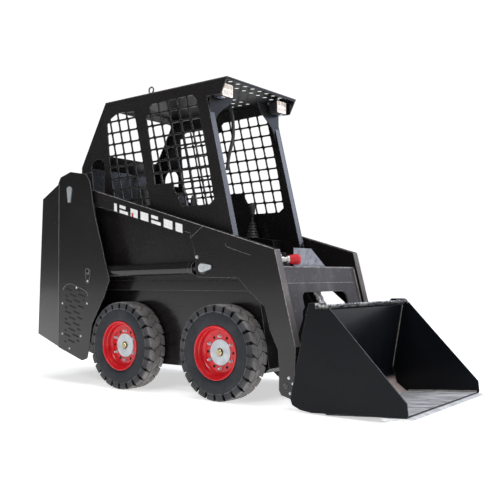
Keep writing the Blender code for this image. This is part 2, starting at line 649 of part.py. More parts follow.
def make_cross(pivot):
    """The plate between the arms, bent back at the top, with an arched opening below."""
    inner = ARM_OUTER - ARM_WIDTH - FIT
    plate = 0.010
    leg = inner - 0.019
    shoulder, curve = ARCH_HALF - ARCH_CORNER, ARCH_TOP - ARCH_CORNER
    half_arch = [(leg, 0.000), (leg, 0.010), (ARCH_HALF + 0.040, 0.110), (ARCH_HALF + 0.030, 0.145),
                 (ARCH_HALF, 0.170)] + arc((shoulder, curve), ARCH_CORNER, 0, 90, 4)
    arch = [(-y, z) for y, z in half_arch] + list(reversed(half_arch))
    tall = 0.400
    outline = [(-inner, 0.0), (-inner, tall), (inner, tall), (inner, 0.0)] + list(reversed(arch))
    work = prism("arm_crossmember", outline, "X", 0.0, plate, SATIN)
    top = Vector((0.385, 0.0, 0.742))
    foot = Vector((0.480, 0.0, 0.360))
    lean = (top - foot).normalized()
    forward = Vector((lean.z, 0, -lean.x))
    frame = Matrix(((forward.x, 0, lean.x, 0), (0, 1, 0, 0), (forward.z, 0, lean.z, 0), (0, 0, 0, 1)))
    length = (top - foot).length
    work.data.transform(Matrix.Translation(foot) @ frame @ Matrix.Scale(length / tall, 4, (0, 0, 1)))
    work.data.transform(Matrix.Translation(-Vector(pivot)))
    work.location = Vector(pivot) + Vector((SHIFT, 0, 0))
    shelf = [(0.392, 0.742), (0.392, 0.732), (0.200, 0.732), (0.200, 0.742)]
    weld(work, prism("cross_shelf", shelf, "Y", -inner, inner, pivot=pivot))
    x, z = TILT_TOP
    lug = [(x - 0.045, 0.736), (x + 0.045, 0.736), (x + 0.016, z - 0.018), (x - 0.016, z - 0.018)]
    for number, y in enumerate((-TILT_EYE_WIDTH / 2 - PLAY - 0.010, TILT_EYE_WIDTH / 2 + PLAY)):
        weld(work, prism("cross_lug_%d" % number, lug, "Y", y, y + 0.010, pivot=pivot))
    reach = TILT_EYE_WIDTH / 2 + PLAY + 0.014
    weld(work, rod("tilt_top_pin", spot(TILT_TOP, -reach), spot(TILT_TOP, reach), TILT_PIN_RADIUS, 16,
                   pivot=pivot))
    return work


def make_coupler(pivot):
    """Bracket and block of the auxiliary hydraulic outlet on the crossmember."""
    base = 0.742 + FIT
    bracket = [(-0.205, base), (0.137, base), (-0.028, base + 0.108), (-0.205, base + 0.108)]
    prism("coupler_bracket", bracket, "X", 0.352, 0.358, ZINC, pivot=pivot)
    block = box("hydraulic_coupler", (0.290, -0.330, base), (0.345, -0.225, base + 0.030), SATIN, pivot=pivot)
    for number, y in enumerate((-0.302, -0.252)):
        foot, head = (0.318, y, base + 0.028), (0.318, y, base + 0.080)
        weld(block, rod("coupler_stub_%d" % number, foot, head, COUPLER_RADIUS, 16, pivot=pivot))


# ---------------------------------------------------------------- cylinders
def make_cylinder(name, base, eye, y, barrel_radius, rod_radius, length, eye_radius, eye_width, bore, retract):
    """Barrel with its bored foot, and rod with its eye, in line at rest."""
    start, end = Vector(spot(base, y)), Vector(spot(eye, y))
    line = (end - start).normalized()
    across = Vector((0, 1, 0))
    half = across * (eye_width / 2)
    tail = eye_radius + 0.014
    bottom = tail + 0.040
    inside = rod_radius + PLAY
    collar = barrel_radius + 0.004
    shell = [(0, tail), (barrel_radius * 0.9, tail), (barrel_radius, tail + 0.006),
             (barrel_radius, length - 0.030), (collar, length - 0.028), (collar, length), (inside, length),
             (inside, bottom), (0, bottom)]
    barrel = turned(name + "_barrel", shell, start, line, 24, BLACK, start)
    weld(barrel, rod(name + "_foot", start - half, start + half, eye_radius, 20, pivot=start))
    weld(barrel, rod(name + "_neck", start, start + line * (tail + 0.010), eye_radius * 0.75, 16,
                     pivot=start))
    cut(barrel, rod(name + "_foot_bore", start - across * 0.1, start + across * 0.1, bore, 20, pivot=start))
    begin = start + line * (bottom + 0.005 + retract)
    shaft = rod(name + "_rod", begin, end - line * (eye_radius * 0.5), rod_radius, 20, CHROME, end)
    weld(shaft, rod(name + "_eye", end - half, end + half, eye_radius, 20, pivot=end))


# ---------------------------------------------------------------- bucket
FLOOR_HEEL = (0.715, 0.0135)
FLOOR_FRONT = (1.140, 0.0445)
EDGE_THICKNESS = 0.012


def floor_under(x):
    """Height of the bucket floor's lower face at a distance ahead."""
    slope = (FLOOR_FRONT[1] - FLOOR_HEEL[1]) / (FLOOR_FRONT[0] - FLOOR_HEEL[0])
    return FLOOR_HEEL[1] + (x - FLOOR_HEEL[0]) * slope - BUCKET_PLATE - FIT


SIDE_FRONT_X = 1.150
SIDE_PLATE = [(0.614, 0.557), (0.711, 0.558), (1.144, 0.104), (SIDE_FRONT_X, floor_under(SIDE_FRONT_X)),
              (0.623, 0.007), (0.557, 0.015), (0.509, 0.035), (0.497, 0.065), (0.535, 0.225), (0.554, 0.307),
              (0.579, 0.420)]
SHEET = [FLOOR_FRONT, FLOOR_HEEL, (0.655, 0.055), (0.622, 0.145), (0.690, 0.520), (0.722, 0.545)]


def thicken(points, thickness):
    """A bent sheet: the given face and the same face moved to its left."""
    moved = []
    for index, here in enumerate(points):
        before = Vector(points[max(index - 1, 0)])
        after = Vector(points[min(index + 1, len(points) - 1)])
        spot_here = Vector(here)
        one = (spot_here - before).normalized() if index else (after - spot_here).normalized()
        two = (after - spot_here).normalized() if index < len(points) - 1 else one
        normal = Vector((-one.y, one.x)) + Vector((-two.y, two.x))
        moved.append(tuple(spot_here + normal * (thickness / (1 + one.dot(two)))))
    return list(points) + list(reversed(moved))


def make_bucket(pivot):
    half = BUCKET_HALF
    sheet = thicken(SHEET, BUCKET_PLATE)
    shell = prism("bucket_shell", sheet, "Y", -half + 0.001, half - 0.001, BLACK, pivot=pivot)
    for label, side in SIDES:
        low, high = span(side, half - 0.006, half)
        weld(shell, prism("bucket_side_" + label, rounded(SIDE_PLATE, 0.012, 2), "Y", low, high, pivot=pivot))
    back, front = 1.020, SIDE_FRONT_X
    edge = [(back, floor_under(back) - FIT), (front, floor_under(front) - FIT),
            (LIP_X, floor_under(front) - EDGE_THICKNESS / 2), (front, floor_under(front) - EDGE_THICKNESS),
            (back, floor_under(back) - EDGE_THICKNESS)]
    prism("cutting_edge", edge, "Y", -EDGE_HALF, EDGE_HALF, WORN, pivot=pivot)


def make_hitch(pivot):
    """The plate behind the bucket, with ears for the arms' pins and the tilt cylinder."""
    back = [(0.602, 0.170), (0.612, 0.168), (0.672, 0.490), (0.662, 0.492)]
    half = 0.360
    hitch = prism("hitch_plate", back, "Y", -half, half, SATIN, pivot=pivot)
    inner = ARM_OUTER - ARM_WIDTH - MOVE
    for label, side in SIDES:
        low, high = span(side, inner - 0.014, inner)
        ear = [(0.436, 0.125), (0.444, 0.104), (0.460, 0.098), (0.600, 0.120), (0.640, 0.330), (0.605, 0.330),
               (0.450, 0.152)]
        weld(hitch, prism("hitch_ear_" + label, ear, "Y", low, high, pivot=pivot))
        start, end = inner - 0.013, ARM_OUTER + 0.004
        weld(hitch, rod("bucket_pin_" + label, spot(BUCKET_PIVOT, side * start), spot(BUCKET_PIVOT, side * end),
                        BUCKET_PIN_RADIUS, 20, pivot=pivot))
    low_edge = [(0.595, 0.125), (0.603, 0.124), (0.615, 0.180), (0.607, 0.182)]
    weld(hitch, prism("hitch_skirt", low_edge, "Y", -inner + 0.002, inner - 0.002, pivot=pivot))
    x, z = TILT_EYE
    ear = [(x - 0.028, z - 0.016), (x - 0.010, z - 0.028), (0.630, 0.270), (0.645, 0.352),
           (x - 0.010, z + 0.028), (x - 0.028, z + 0.016)]
    for number, y in enumerate((-TILT_EYE_WIDTH / 2 - PLAY - 0.010, TILT_EYE_WIDTH / 2 + PLAY)):
        weld(hitch, prism("tilt_ear_%d" % number, ear, "Y", y, y + 0.010, pivot=pivot))


# ---------------------------------------------------------------- assembly
make_chassis()
make_axle("front", 0.0)
make_axle("rear", -WHEELBASE)
for end_name, axle_x in (("front", 0.0), ("rear", -WHEELBASE)):
    for side_name, hand in SIDES:
        make_wheel(end_name + "_" + side_name, axle_x, hand)
for side_name, hand in SIDES:
    make_tower(side_name, hand)
    make_arm_pin(side_name, hand)
    make_lifting_eye(side_name, hand)
    make_controls(side_name, hand)
make_rear()
make_cab()
make_seat()
ARM_ORIGIN = spot(ARM_PIVOT, 0.0)
BUCKET_ORIGIN = spot(BUCKET_PIVOT, 0.0)
for side_name, hand in SIDES:
    make_arm(side_name, hand, ARM_ORIGIN)
    make_cylinder("lift_" + side_name, LIFT_BASE, LIFT_EYE, hand * ARM_MIDDLE, LIFT_BARREL_RADIUS, LIFT_ROD_RADIUS,
                  LIFT_BARREL_LENGTH, LIFT_EYE_RADIUS, LIFT_EYE_WIDTH, LIFT_PIN_RADIUS + FIT, 0.0)
make_cross(ARM_ORIGIN)
make_coupler(ARM_ORIGIN)
make_cylinder("tilt", TILT_TOP, TILT_EYE, 0.0, TILT_BARREL_RADIUS, TILT_ROD_RADIUS, TILT_BARREL_LENGTH,
              TILT_EYE_RADIUS, TILT_EYE_WIDTH, TILT_PIN_RADIUS + FIT, TILT_STROKE_IN)
make_bucket(BUCKET_ORIGIN)
make_hitch(BUCKET_ORIGIN)
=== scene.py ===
"""Finish of a compact skid steer loader: tyres, rims, lamps, fittings, seat, paint, metal and light.

Metres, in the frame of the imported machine: +X forward, +Y to the machine's left, +Z up.
"""
import json
from math import cos, pi, radians, sin

import bmesh
import bpy
import numpy as np
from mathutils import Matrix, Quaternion, Vector


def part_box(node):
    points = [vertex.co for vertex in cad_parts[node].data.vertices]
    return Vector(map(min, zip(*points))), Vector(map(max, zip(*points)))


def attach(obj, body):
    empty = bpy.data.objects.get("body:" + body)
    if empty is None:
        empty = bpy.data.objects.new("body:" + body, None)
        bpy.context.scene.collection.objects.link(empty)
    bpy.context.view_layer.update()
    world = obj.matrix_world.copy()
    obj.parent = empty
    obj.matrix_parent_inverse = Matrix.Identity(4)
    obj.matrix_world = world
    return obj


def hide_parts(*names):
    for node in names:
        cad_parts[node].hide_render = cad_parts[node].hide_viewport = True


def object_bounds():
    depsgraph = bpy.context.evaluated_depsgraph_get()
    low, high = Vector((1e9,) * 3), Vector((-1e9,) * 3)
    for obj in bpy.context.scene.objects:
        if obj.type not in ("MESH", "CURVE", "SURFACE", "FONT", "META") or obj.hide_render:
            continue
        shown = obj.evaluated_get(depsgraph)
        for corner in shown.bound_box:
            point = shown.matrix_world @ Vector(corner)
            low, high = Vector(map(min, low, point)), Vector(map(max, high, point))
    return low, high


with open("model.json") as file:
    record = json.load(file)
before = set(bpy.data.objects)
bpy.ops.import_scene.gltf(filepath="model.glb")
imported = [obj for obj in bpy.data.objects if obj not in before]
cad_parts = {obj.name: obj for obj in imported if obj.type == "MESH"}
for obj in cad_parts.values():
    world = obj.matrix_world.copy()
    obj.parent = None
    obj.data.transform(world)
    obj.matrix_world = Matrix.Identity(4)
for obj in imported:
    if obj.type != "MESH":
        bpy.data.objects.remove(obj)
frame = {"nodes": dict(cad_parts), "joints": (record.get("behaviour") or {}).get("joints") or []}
cad_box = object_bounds()
NODES = frame["nodes"]
JOINTS = {joint["name"]: joint for joint in frame["joints"]}
SIDES = (("right", -1), ("left", 1))
WHEELS = [(end + "_" + label, side) for end in ("front", "rear") for label, side in SIDES]


# ---------------------------------------------------------------- shader values
class Value:
    """A socket of a material's node tree; arithmetic on it adds Math nodes to that tree."""

    def __init__(self, recipe, socket):
        self.recipe, self.socket = recipe, socket

    def math(self, operation, *values):
        inputs = dict(enumerate(values))
        return self.recipe.node("ShaderNodeMath", {"operation": operation}, inputs)

    def __add__(self, other):
        return self.math("ADD", self, other)

    def __sub__(self, other):
        return self.math("SUBTRACT", self, other)

    def __rsub__(self, other):
        return self.math("SUBTRACT", other, self)

    def __mul__(self, other):
        return self.math("MULTIPLY", self, other)

    def __pow__(self, other):
        return self.math("POWER", self, other)

    def __abs__(self):
        return self.math("ABSOLUTE", self)

    def least(self, other):
        return self.math("MINIMUM", self, other)

    def most(self, other):
        return self.math("MAXIMUM", self, other)

    def rise(self, start, end):
        """0 below start, 1 above end, and a smooth step between them."""
        inputs = {"Value": self, "From Min": start, "From Max": end}
        return self.recipe.node("ShaderNodeMapRange", {"interpolation_type": "SMOOTHSTEP"}, inputs)

    __radd__ = __add__
    __rmul__ = __mul__


class Recipe:
    """One material: a Principled shader whose sockets are fed by values worked out in Python."""

    def __init__(self, name, colour, roughness, metallic=0.0, **constants):
        self.material = bpy.data.materials.new(name)
        self.material.use_nodes = True
        self.tree = self.material.node_tree
        self.shader = self.tree.nodes["Principled BSDF"]
        self.shader.inputs["Base Color"].default_value = (*colour, 1.0)
        self.shader.inputs["Roughness"].default_value = roughness
        self.shader.inputs["Metallic"].default_value = metallic
        for key, value in constants.items():
            self.shader.inputs[key.replace("_", " ").title().replace("Ior", "IOR")].default_value = value
        self.material.diffuse_color = (*colour, 1.0)
        self.place = self.node("ShaderNodeTexCoord", output="Object")
        split = self.node("ShaderNodeSeparateXYZ", inputs={0: self.place})
        self.x, self.y, self.z = (Value(self, split.socket.node.outputs[axis]) for axis in range(3))

    def node(self, kind, settings=None, inputs=None, output=0):
        """Add a node: its settings first, then values or links for its inputs; gives one output."""
        made = self.tree.nodes.new(kind)
        for key, value in (settings or {}).items():
            setattr(made, key, value)
        for key, value in (inputs or {}).items():
            if isinstance(value, Value):
                self.tree.links.new(value.socket, made.inputs[key])
            else:
                made.inputs[key].default_value = value
        return Value(self, made.outputs[output])

    def noise(self, scale, detail=3.0, roughness=0.55, stretch=None):
        """Cloudy noise between 0 and 1 on the piece's own coordinates, stretched along the axes if asked."""
        place = self.place
        if stretch:
            place = self.node("ShaderNodeVectorMath", {"operation": "MULTIPLY"}, {0: place, 1: stretch})
        inputs = {"Vector": place, "Scale": scale, "Detail": detail, "Roughness": roughness}
        return self.node("ShaderNodeTexNoise", inputs=inputs)

    def cells(self, scale):
        """Distance from the middle of the nearest cell, 0 in the middle and about 1 at the border."""
        inputs = {"Vector": self.place, "Scale": scale}
        return self.node("ShaderNodeTexVoronoi", {"feature": "F1"}, inputs)

    def mix(self, share, one, two):
        """A colour between two colours or colour sockets."""
        one, two = (value if isinstance(value, Value) else (*value, 1.0) for value in (one, two))
        return self.node("ShaderNodeMix", {"data_type": "RGBA"}, {0: share, 6: one, 7: two}, 2)

    def attribute(self, name):
        """A number that the mesh carries at each of its points."""
        return self.node("ShaderNodeAttribute", {"attribute_name": name}, output="Fac")

    def normal_up(self):
        """How far the surface faces the sky, from -1 to 1."""
        normal = self.node("ShaderNodeNewGeometry", output="Normal")
        split = self.node("ShaderNodeSeparateXYZ", inputs={0: normal})
        return Value(self, split.socket.node.outputs[2])

    def rounded_normal(self, radius):
        """The normal of the surface as if its edges were broken by a radius."""
        return self.node("ShaderNodeBevel", {"samples": 4}, {"Radius": radius})

    def edge(self, radius):
        """Near 1 on a sharp edge and 0 on the flat."""
        normal = self.node("ShaderNodeNewGeometry", output="Normal")
        dot = self.node("ShaderNodeVectorMath", {"operation": "DOT_PRODUCT"},
                        {0: self.rounded_normal(radius), 1: normal}, "Value")
        return (1.0 - dot).rise(0.02, 0.20)

    def bump(self, height, strength, normal=None):
        """The normal of the surface raised by a height in metres, on top of another normal if given."""
        inputs = {"Height": height, "Distance": 1.0, "Strength": strength}
        if normal:
            inputs["Normal"] = normal
        return self.node("ShaderNodeBump", inputs=inputs)

    def feed(self, **values):
        """Link values to the shader's own sockets."""
        for key, value in values.items():
            self.tree.links.new(value.socket, self.shader.inputs[key.replace("_", " ").title()])
        return self.material


# ---------------------------------------------------------------- finishes
def black_paint(name, base, dust=0.045, gloss=0.22, edge_wear_and_highlight=0.95, radius=0.0034, shine=0.28):
    """Glossy black enamel: faint orange peel and sheet waviness, a film of dust, edges lightened partly by
    rubbed wear and partly as painted highlight.
    """
    r = Recipe(name, base, gloss, coat_weight=0.8 * shine, coat_roughness=0.10, specular_ior_level=shine)
    clouds = r.noise(2.3, 4.0, 0.6)
    grit = r.noise(34.0, 5.0, 0.7)
    edge = r.edge(radius) * (0.45 + r.noise(16.0, 3.0) * 0.9).least(1.0)
    film = clouds.rise(0.40, 0.80) * 0.6 + grit.rise(0.55, 0.85) * 0.25 + r.normal_up().rise(0.6, 1.0) * 0.5
    film = (film * dust).least(1.0)
    colour = r.mix(film, base, (0.17, 0.16, 0.16))
    # edges lightened to pale grey: partly rubbed wear, partly painted highlight
    colour = r.mix(edge * edge_wear_and_highlight, colour, (0.50, 0.48, 0.48))
    scratch = r.noise(60.0, 2.0, 0.5, (0.15, 1.0, 1.6)).rise(0.66, 0.74)
    rough = (gloss + film * 0.5 + grit * 0.06 + scratch * 0.08).least(0.9)
    waves = r.noise(1.7, 1.0) * 0.0022 + r.noise(210.0, 2.0) * 0.00002
    return r.feed(base_color=colour, roughness=rough,
                  normal=r.bump(waves, 0.8, r.rounded_normal(radius)))


def satin_paint(name, base=(0.062, 0.056, 0.057), light=(0.30, 0.27, 0.27), edge_wear_and_highlight=0.8):
    """Dull dark paint with rubbed patches, fine scratches, and edges lightened partly by rubbed wear and
    partly as painted highlight.
    """
    r = Recipe(name, base, 0.42, 0.15)
    smear = r.noise(7.0, 5.0, 0.65, (1.0, 1.0, 0.5))
    scratch = r.noise(90.0, 3.0, 0.6, (1.2, 0.25, 0.5)).rise(0.60, 0.72)
    edge = r.edge(0.0022) * (0.55 + r.noise(30.0, 3.0) * 0.8).least(1.0)
    colour = r.mix((smear.rise(0.45, 0.75) * 0.35 + scratch * 0.25).least(1.0), base, light)
    # edges lightened to pale grey: partly rubbed wear, partly painted highlight
    colour = r.mix(edge * edge_wear_and_highlight, colour, (0.62, 0.60, 0.58))
    rough = 0.34 + smear * 0.25
    return r.feed(base_color=colour, roughness=rough,
                  normal=r.bump(scratch * 0.0002 + smear * 0.0006, 0.7, r.rounded_normal(0.0022)))


def bare_metal(name, base, rough, tint, grain=120.0, distance=0.00015, metallic=1.0):
    """Metal with cloudy tint and fine grain; plated, cast or showing wear by its numbers."""
    r = Recipe(name, base, rough, metallic)
    cloud = r.noise(22.0, 4.0)
    fine = r.noise(grain, 3.0, 0.7)
    colour = r.mix(cloud.rise(0.35, 0.75), base, tint)
    return r.feed(base_color=colour, roughness=(rough + (fine - 0.5) * 0.25 + cloud * 0.08).most(0.04),
                  normal=r.bump(fine * distance, 0.8, r.rounded_normal(0.0012)))


def worn_floor():
    """Black enamel whose floor is ground to bare steel by soil, with rust-brown dust in the heel."""
    # the base and its sheen are darker than the machine's other black enamel: painted shade for the bucket's
    # inside
    base = (0.0042, 0.0048, 0.0066)
    r = Recipe("bucket_finish", base, 0.24, coat_weight=0.04, coat_roughness=0.12, specular_ior_level=0.12)
    low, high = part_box("bucket_shell")
    edge = r.edge(0.0016) * (0.45 + r.noise(16.0, 3.0) * 0.9).least(1.0)
    grit = r.noise(40.0, 5.0, 0.7)
    up = r.normal_up()
    inside = (high.y - 0.012 - abs(r.y)).rise(0.0, 0.006)
    floor = up.rise(0.90, 0.97) * inside * (0.075 - r.z).rise(0.0, 0.02)
    patchy = r.noise(9.0, 5.0, 0.7, (0.45, 1.2, 1.0))
    bare = (floor * (patchy + (r.x - (high.x - 0.42)) * 1.2).rise(0.26, 0.46)).least(1.0)
    heel = up.rise(0.15, 0.30) * (1.0 - up.rise(0.9, 0.96)) * inside * (0.11 - r.z).rise(0.0, 0.05)
    streak = r.noise(38.0, 4.0, 0.7, (0.18, 1.0, 1.0))
    steel = r.mix(streak.rise(0.30, 0.70), (0.24, 0.24, 0.26), (0.86, 0.86, 0.88))
    film = r.noise(2.3, 4.0, 0.6).rise(0.42, 0.8) * 0.02
    colour = r.mix(film, base, (0.2, 0.19, 0.18))
    colour = r.mix(floor * 0.85, colour, (0.16, 0.15, 0.15))
    colour = r.mix(bare, colour, steel)
    colour = r.mix((heel * (0.60 + patchy)).least(0.95), colour, (0.62, 0.50, 0.46))
    rim = (r.z - (high.z - 0.034)).rise(0.0, 0.02) * (r.x - (low.x + 0.15)).rise(0.0, 0.01)
    # edges lightened partly by rubbed wear and partly as painted highlight; the top rim gets light patches
    colour = r.mix((edge * 0.75 + rim * r.noise(55.0, 4.0).rise(0.42, 0.60) * 0.7).least(1.0), colour,
                   (0.60, 0.59, 0.58))
    rough = (0.24 + floor * 0.16 + heel * 0.35 + grit * 0.10).least(0.9)
    height = streak * 0.0004 * floor + r.noise(1.9, 1.0) * 0.0030 + grit * 0.00005
    return r.feed(base_color=colour, metallic=bare * 0.35, roughness=rough,
                  normal=r.bump(height, 0.8, r.rounded_normal(0.0016)))


def rubber_finish():
    """Tyre rubber: blue-grey walls, blocks rubbed to a dusty grey-brown where the tread attribute is 1, and
    painted shade near black in the grooves where it is below 0.
    """
    r = Recipe("tyre_finish", (0.045, 0.048, 0.055), 0.62, specular_ior_level=0.35)
    tread = r.attribute("tread")
    blotch = r.noise(14.0, 5.0, 0.65)
    grit = r.noise(150.0, 3.0, 0.7)
    wall = r.mix(blotch.rise(0.35, 0.75), (0.011, 0.013, 0.018), (0.026, 0.029, 0.036))
    dusty = r.mix(blotch.rise(0.3, 0.7), (0.150, 0.143, 0.140), (0.310, 0.296, 0.286))
    colour = r.mix((tread * (0.75 + grit * 0.3)).least(1.0), wall, dusty)
    # painted shade: where the tread attribute is below 0, the grooves and middle channel go near black
    colour = r.mix((0.0 - tread).most(0.0).least(1.0), colour, (0.006, 0.006, 0.006))
    rough = (0.46 + tread * 0.25 + blotch * 0.12).least(0.95)
    return r.feed(base_color=colour, roughness=rough,
                  normal=r.bump(grit * 0.00025 + blotch * 0.0004, 0.7))


def red_paint():
    """Bright red enamel with faint blotches and a few specks of pale dust."""
    r = Recipe("rim_finish", (0.60, 0.008, 0.013), 0.28, coat_weight=0.35, coat_roughness=0.10,
               specular_ior_level=0.35)
    blotch = r.noise(18.0, 4.0, 0.6)
    grit = r.noise(90.0, 4.0, 0.7)
    colour = r.mix(blotch.rise(0.3, 0.8), (0.52, 0.006, 0.012), (0.74, 0.012, 0.020))
    colour = r.mix(grit.rise(0.72, 0.86) * 0.25, colour, (0.40, 0.15, 0.14))
    return r.feed(base_color=colour, roughness=0.24 + blotch * 0.12 + grit.rise(0.6, 0.9) * 0.2,
                  normal=r.bump(r.noise(180.0, 2.0) * 0.00006, 0.7))


def grained(name, base, light, scale, depth, rough):
    """Moulded or coated surface with a pebbled grain."""
    r = Recipe(name, base, rough)
    pebble = r.cells(scale)
    blotch = r.noise(9.0, 4.0, 0.6)
    colour = r.mix((blotch * 0.7 + pebble * 0.5).least(1.0), base, light)
    return r.feed(base_color=colour, roughness=(rough + blotch * 0.12 - pebble * 0.10).least(1.0),
                  normal=r.bump(pebble * depth + blotch * depth, 0.8))


def lens_finish():
    """Glowing milky lens, patterned with small pale cells whose borders are a shade darker."""
    r = Recipe("lens_finish", (0.90, 0.84, 0.76), 0.22, coat_weight=0.6, coat_roughness=0.05,
               emission_strength=0.45)
    cups = r.cells(70.0)
    colour = r.mix(cups.rise(0.2, 0.7), (0.95, 0.90, 0.83), (0.66, 0.55, 0.48))
    return r.feed(base_color=colour, emission_color=colour, roughness=0.15 + cups * 0.2,
                  normal=r.bump(cups * 0.0015, 0.7))


def flat_finish(name, base, light, rough, metallic=0.0):
    """A small part's finish: two shades in fine blotches."""
    r = Recipe(name, base, rough, metallic)
    blotch = r.noise(60.0, 4.0, 0.65)
    return r.feed(base_color=r.mix(blotch.rise(0.3, 0.75), base, light), roughness=rough + blotch * 0.15,
                  normal=r.bump(blotch * 0.0002, 0.6, r.rounded_normal(0.0008)))


GLOSS = black_paint("black_enamel", base=(0.0086, 0.0074, 0.0074), shine=0.36)
PANEL = black_paint("cab_enamel", base=(0.0090, 0.0078, 0.0078), dust=0.06, gloss=0.24, edge_wear_and_highlight=0.60,
                    radius=0.0025, shine=0.38)
# darker, duller copy of the black enamel: painted shade for parts inside the cab and under covers
SHADE = black_paint("inner_enamel", base=(0.006, 0.006, 0.007), dust=0.08, gloss=0.38, edge_wear_and_highlight=0.35,
                    shine=0.20)
# darker, duller copy of the cab enamel: painted shade for the roof's underside
ROOF = black_paint("roof_enamel", base=(0.005, 0.005, 0.006), dust=0.04, gloss=0.42, edge_wear_and_highlight=0.6,
                   radius=0.0025, shine=0.10)
SATIN = satin_paint("satin_enamel")
FLANGE = satin_paint("rubbed_flange", (0.115, 0.098, 0.095), (0.42, 0.37, 0.35))
BUCKET = worn_floor()
TYRE = rubber_finish()
RED = red_paint()
ZINC = bare_metal("zinc_finish", (0.66, 0.69, 0.71), 0.34, (0.50, 0.53, 0.55), metallic=0.75)
HUB = bare_metal("hub_finish", (0.60, 0.66, 0.69), 0.36, (0.46, 0.52, 0.56), metallic=0.45)
PASSIVATED = bare_metal("yellow_zinc", (0.66, 0.60, 0.36), 0.30, (0.50, 0.42, 0.24), metallic=0.9)
CHROME = bare_metal("chrome_finish", (0.78, 0.78, 0.80), 0.09, (0.70, 0.70, 0.73), 300.0, 0.00002)
EDGE_STEEL = bare_metal("edge_steel", (0.90, 0.90, 0.90), 0.42, (0.62, 0.62, 0.63), 80.0, 0.0004, 0.35)
PLATE_STEEL = bare_metal("scuffed_plate", (0.46, 0.47, 0.52), 0.36, (0.24, 0.25, 0.28), 60.0, 0.0003, 0.7)
CAST = bare_metal("cast_finish", (0.035, 0.035, 0.038), 0.58, (0.060, 0.058, 0.056), 70.0, 0.0006, 0.2)
WELD = bare_metal("weld_finish", (0.22, 0.21, 0.20), 0.42, (0.46, 0.43, 0.40), 45.0, 0.0008, 0.5)
VINYL = grained("vinyl_finish", (0.016, 0.016, 0.018), (0.040, 0.039, 0.040), 420.0, 0.0004, 0.48)
GRIP = grained("grip_finish", (0.013, 0.013, 0.014), (0.035, 0.035, 0.036), 300.0, 0.0002, 0.42)
LENS = lens_finish()
HOUSING = flat_finish("lamp_housing", (0.012, 0.012, 0.014), (0.030, 0.030, 0.034), 0.40)
WHITE = flat_finish("white_marking", (0.80, 0.80, 0.80), (0.66, 0.66, 0.65), 0.42)
RED_MARK = flat_finish("red_marking", (0.45, 0.02, 0.02), (0.33, 0.02, 0.02), 0.45)
RED_CAP = flat_finish("red_cap", (0.70, 0.03, 0.045), (0.52, 0.02, 0.03), 0.38)
# near black: painted shade in openings, such as the tower's vents and the holes behind the wheel's vents
PAINTED_SHADE = flat_finish("opening_shade", (0.004, 0.004, 0.004), (0.007, 0.007, 0.007), 0.7)
CUP = flat_finish("reflector_cups", (0.74, 0.62, 0.52), (0.95, 0.90, 0.84), 0.25, 0.3)
BRACKET = flat_finish("bracket_zinc", (0.30, 0.34, 0.44), (0.52, 0.57, 0.66), 0.30, 0.8)
# light grey for edges, bends and ridges: partly rubbed wear, partly painted highlight
RUBBED_HIGHLIGHT = flat_finish("scuffed_edge", (0.16, 0.15, 0.15), (0.55, 0.54, 0.53), 0.35, 0.6)
WHITE_METAL = flat_finish("bright_fitting", (0.80, 0.78, 0.74), (0.62, 0.60, 0.58), 0.30, 0.4)


# ---------------------------------------------------------------- shapes
class Shape:
    """Points and faces of one or more closed shells. Shapes are added together into one piece."""

    def __init__(self, points, quads, caps=()):
        self.points = np.asarray(points, float).reshape(-1, 3)
        self.quads = np.asarray(quads, int).reshape(-1, 4)
        self.caps = [list(cap) for cap in caps]

    def __add__(self, other):
        shift = len(self.points)
        caps = self.caps + [[index + shift for index in cap] for cap in other.caps]
        quads = np.vstack([self.quads, other.quads + shift])
        return Shape(np.vstack([self.points, other.points]), quads, caps)


def total(shapes):
    """Many shapes as one."""
    first, *others = shapes
    return sum(others, first)


def surface(points, wrap_rows=False, wrap_columns=False, caps=False):
    """A grid of points, rows by columns, joined by quads; caps close the first and the last row."""
    points = np.asarray(points, float)
    rows, columns = points.shape[:2]
    r = np.arange(rows if wrap_rows else rows - 1)[:, None]
    c = np.arange(columns if wrap_columns else columns - 1)[None, :]
    after_r, after_c = (r + 1) % rows, (c + 1) % columns
    quads = np.stack([r * columns + c, r * columns + after_c, after_r * columns + after_c,
                      after_r * columns + c], -1)
    ends = [range(columns), range((rows - 1) * columns, rows * columns)] if caps else []
    return Shape(points, quads, ends)


def axes_of(direction):
    """Two unit vectors across a direction."""
    direction = np.asarray(direction, float) / np.linalg.norm(direction)
    helper = np.array([0.0, 0.0, 1.0]) if abs(direction[2]) < 0.9 else np.array([1.0, 0.0, 0.0])
    one = np.cross(helper, direction)
    one /= np.linalg.norm(one)
    return direction, one, np.cross(direction, one)


def turned(profile, centre, direction, steps, ring=False):
    """A profile of (radius, distance) turned about a line: centre + distance d + radius (cos a, sin a).
    A ring's profile closes on itself; otherwise flat caps close both ends."""
    profile = np.asarray(profile, float)
    direction, one, two = axes_of(direction)
    angle = np.linspace(0, 2 * pi, steps, endpoint=False)
    spoke = np.cos(angle)[:, None] * one + np.sin(angle)[:, None] * two
    points = (np.asarray(centre, float) + profile[:, 1, None, None] * direction
              + profile[:, 0, None, None] * spoke[None])
    return surface(points, wrap_rows=ring, wrap_columns=True, caps=not ring)


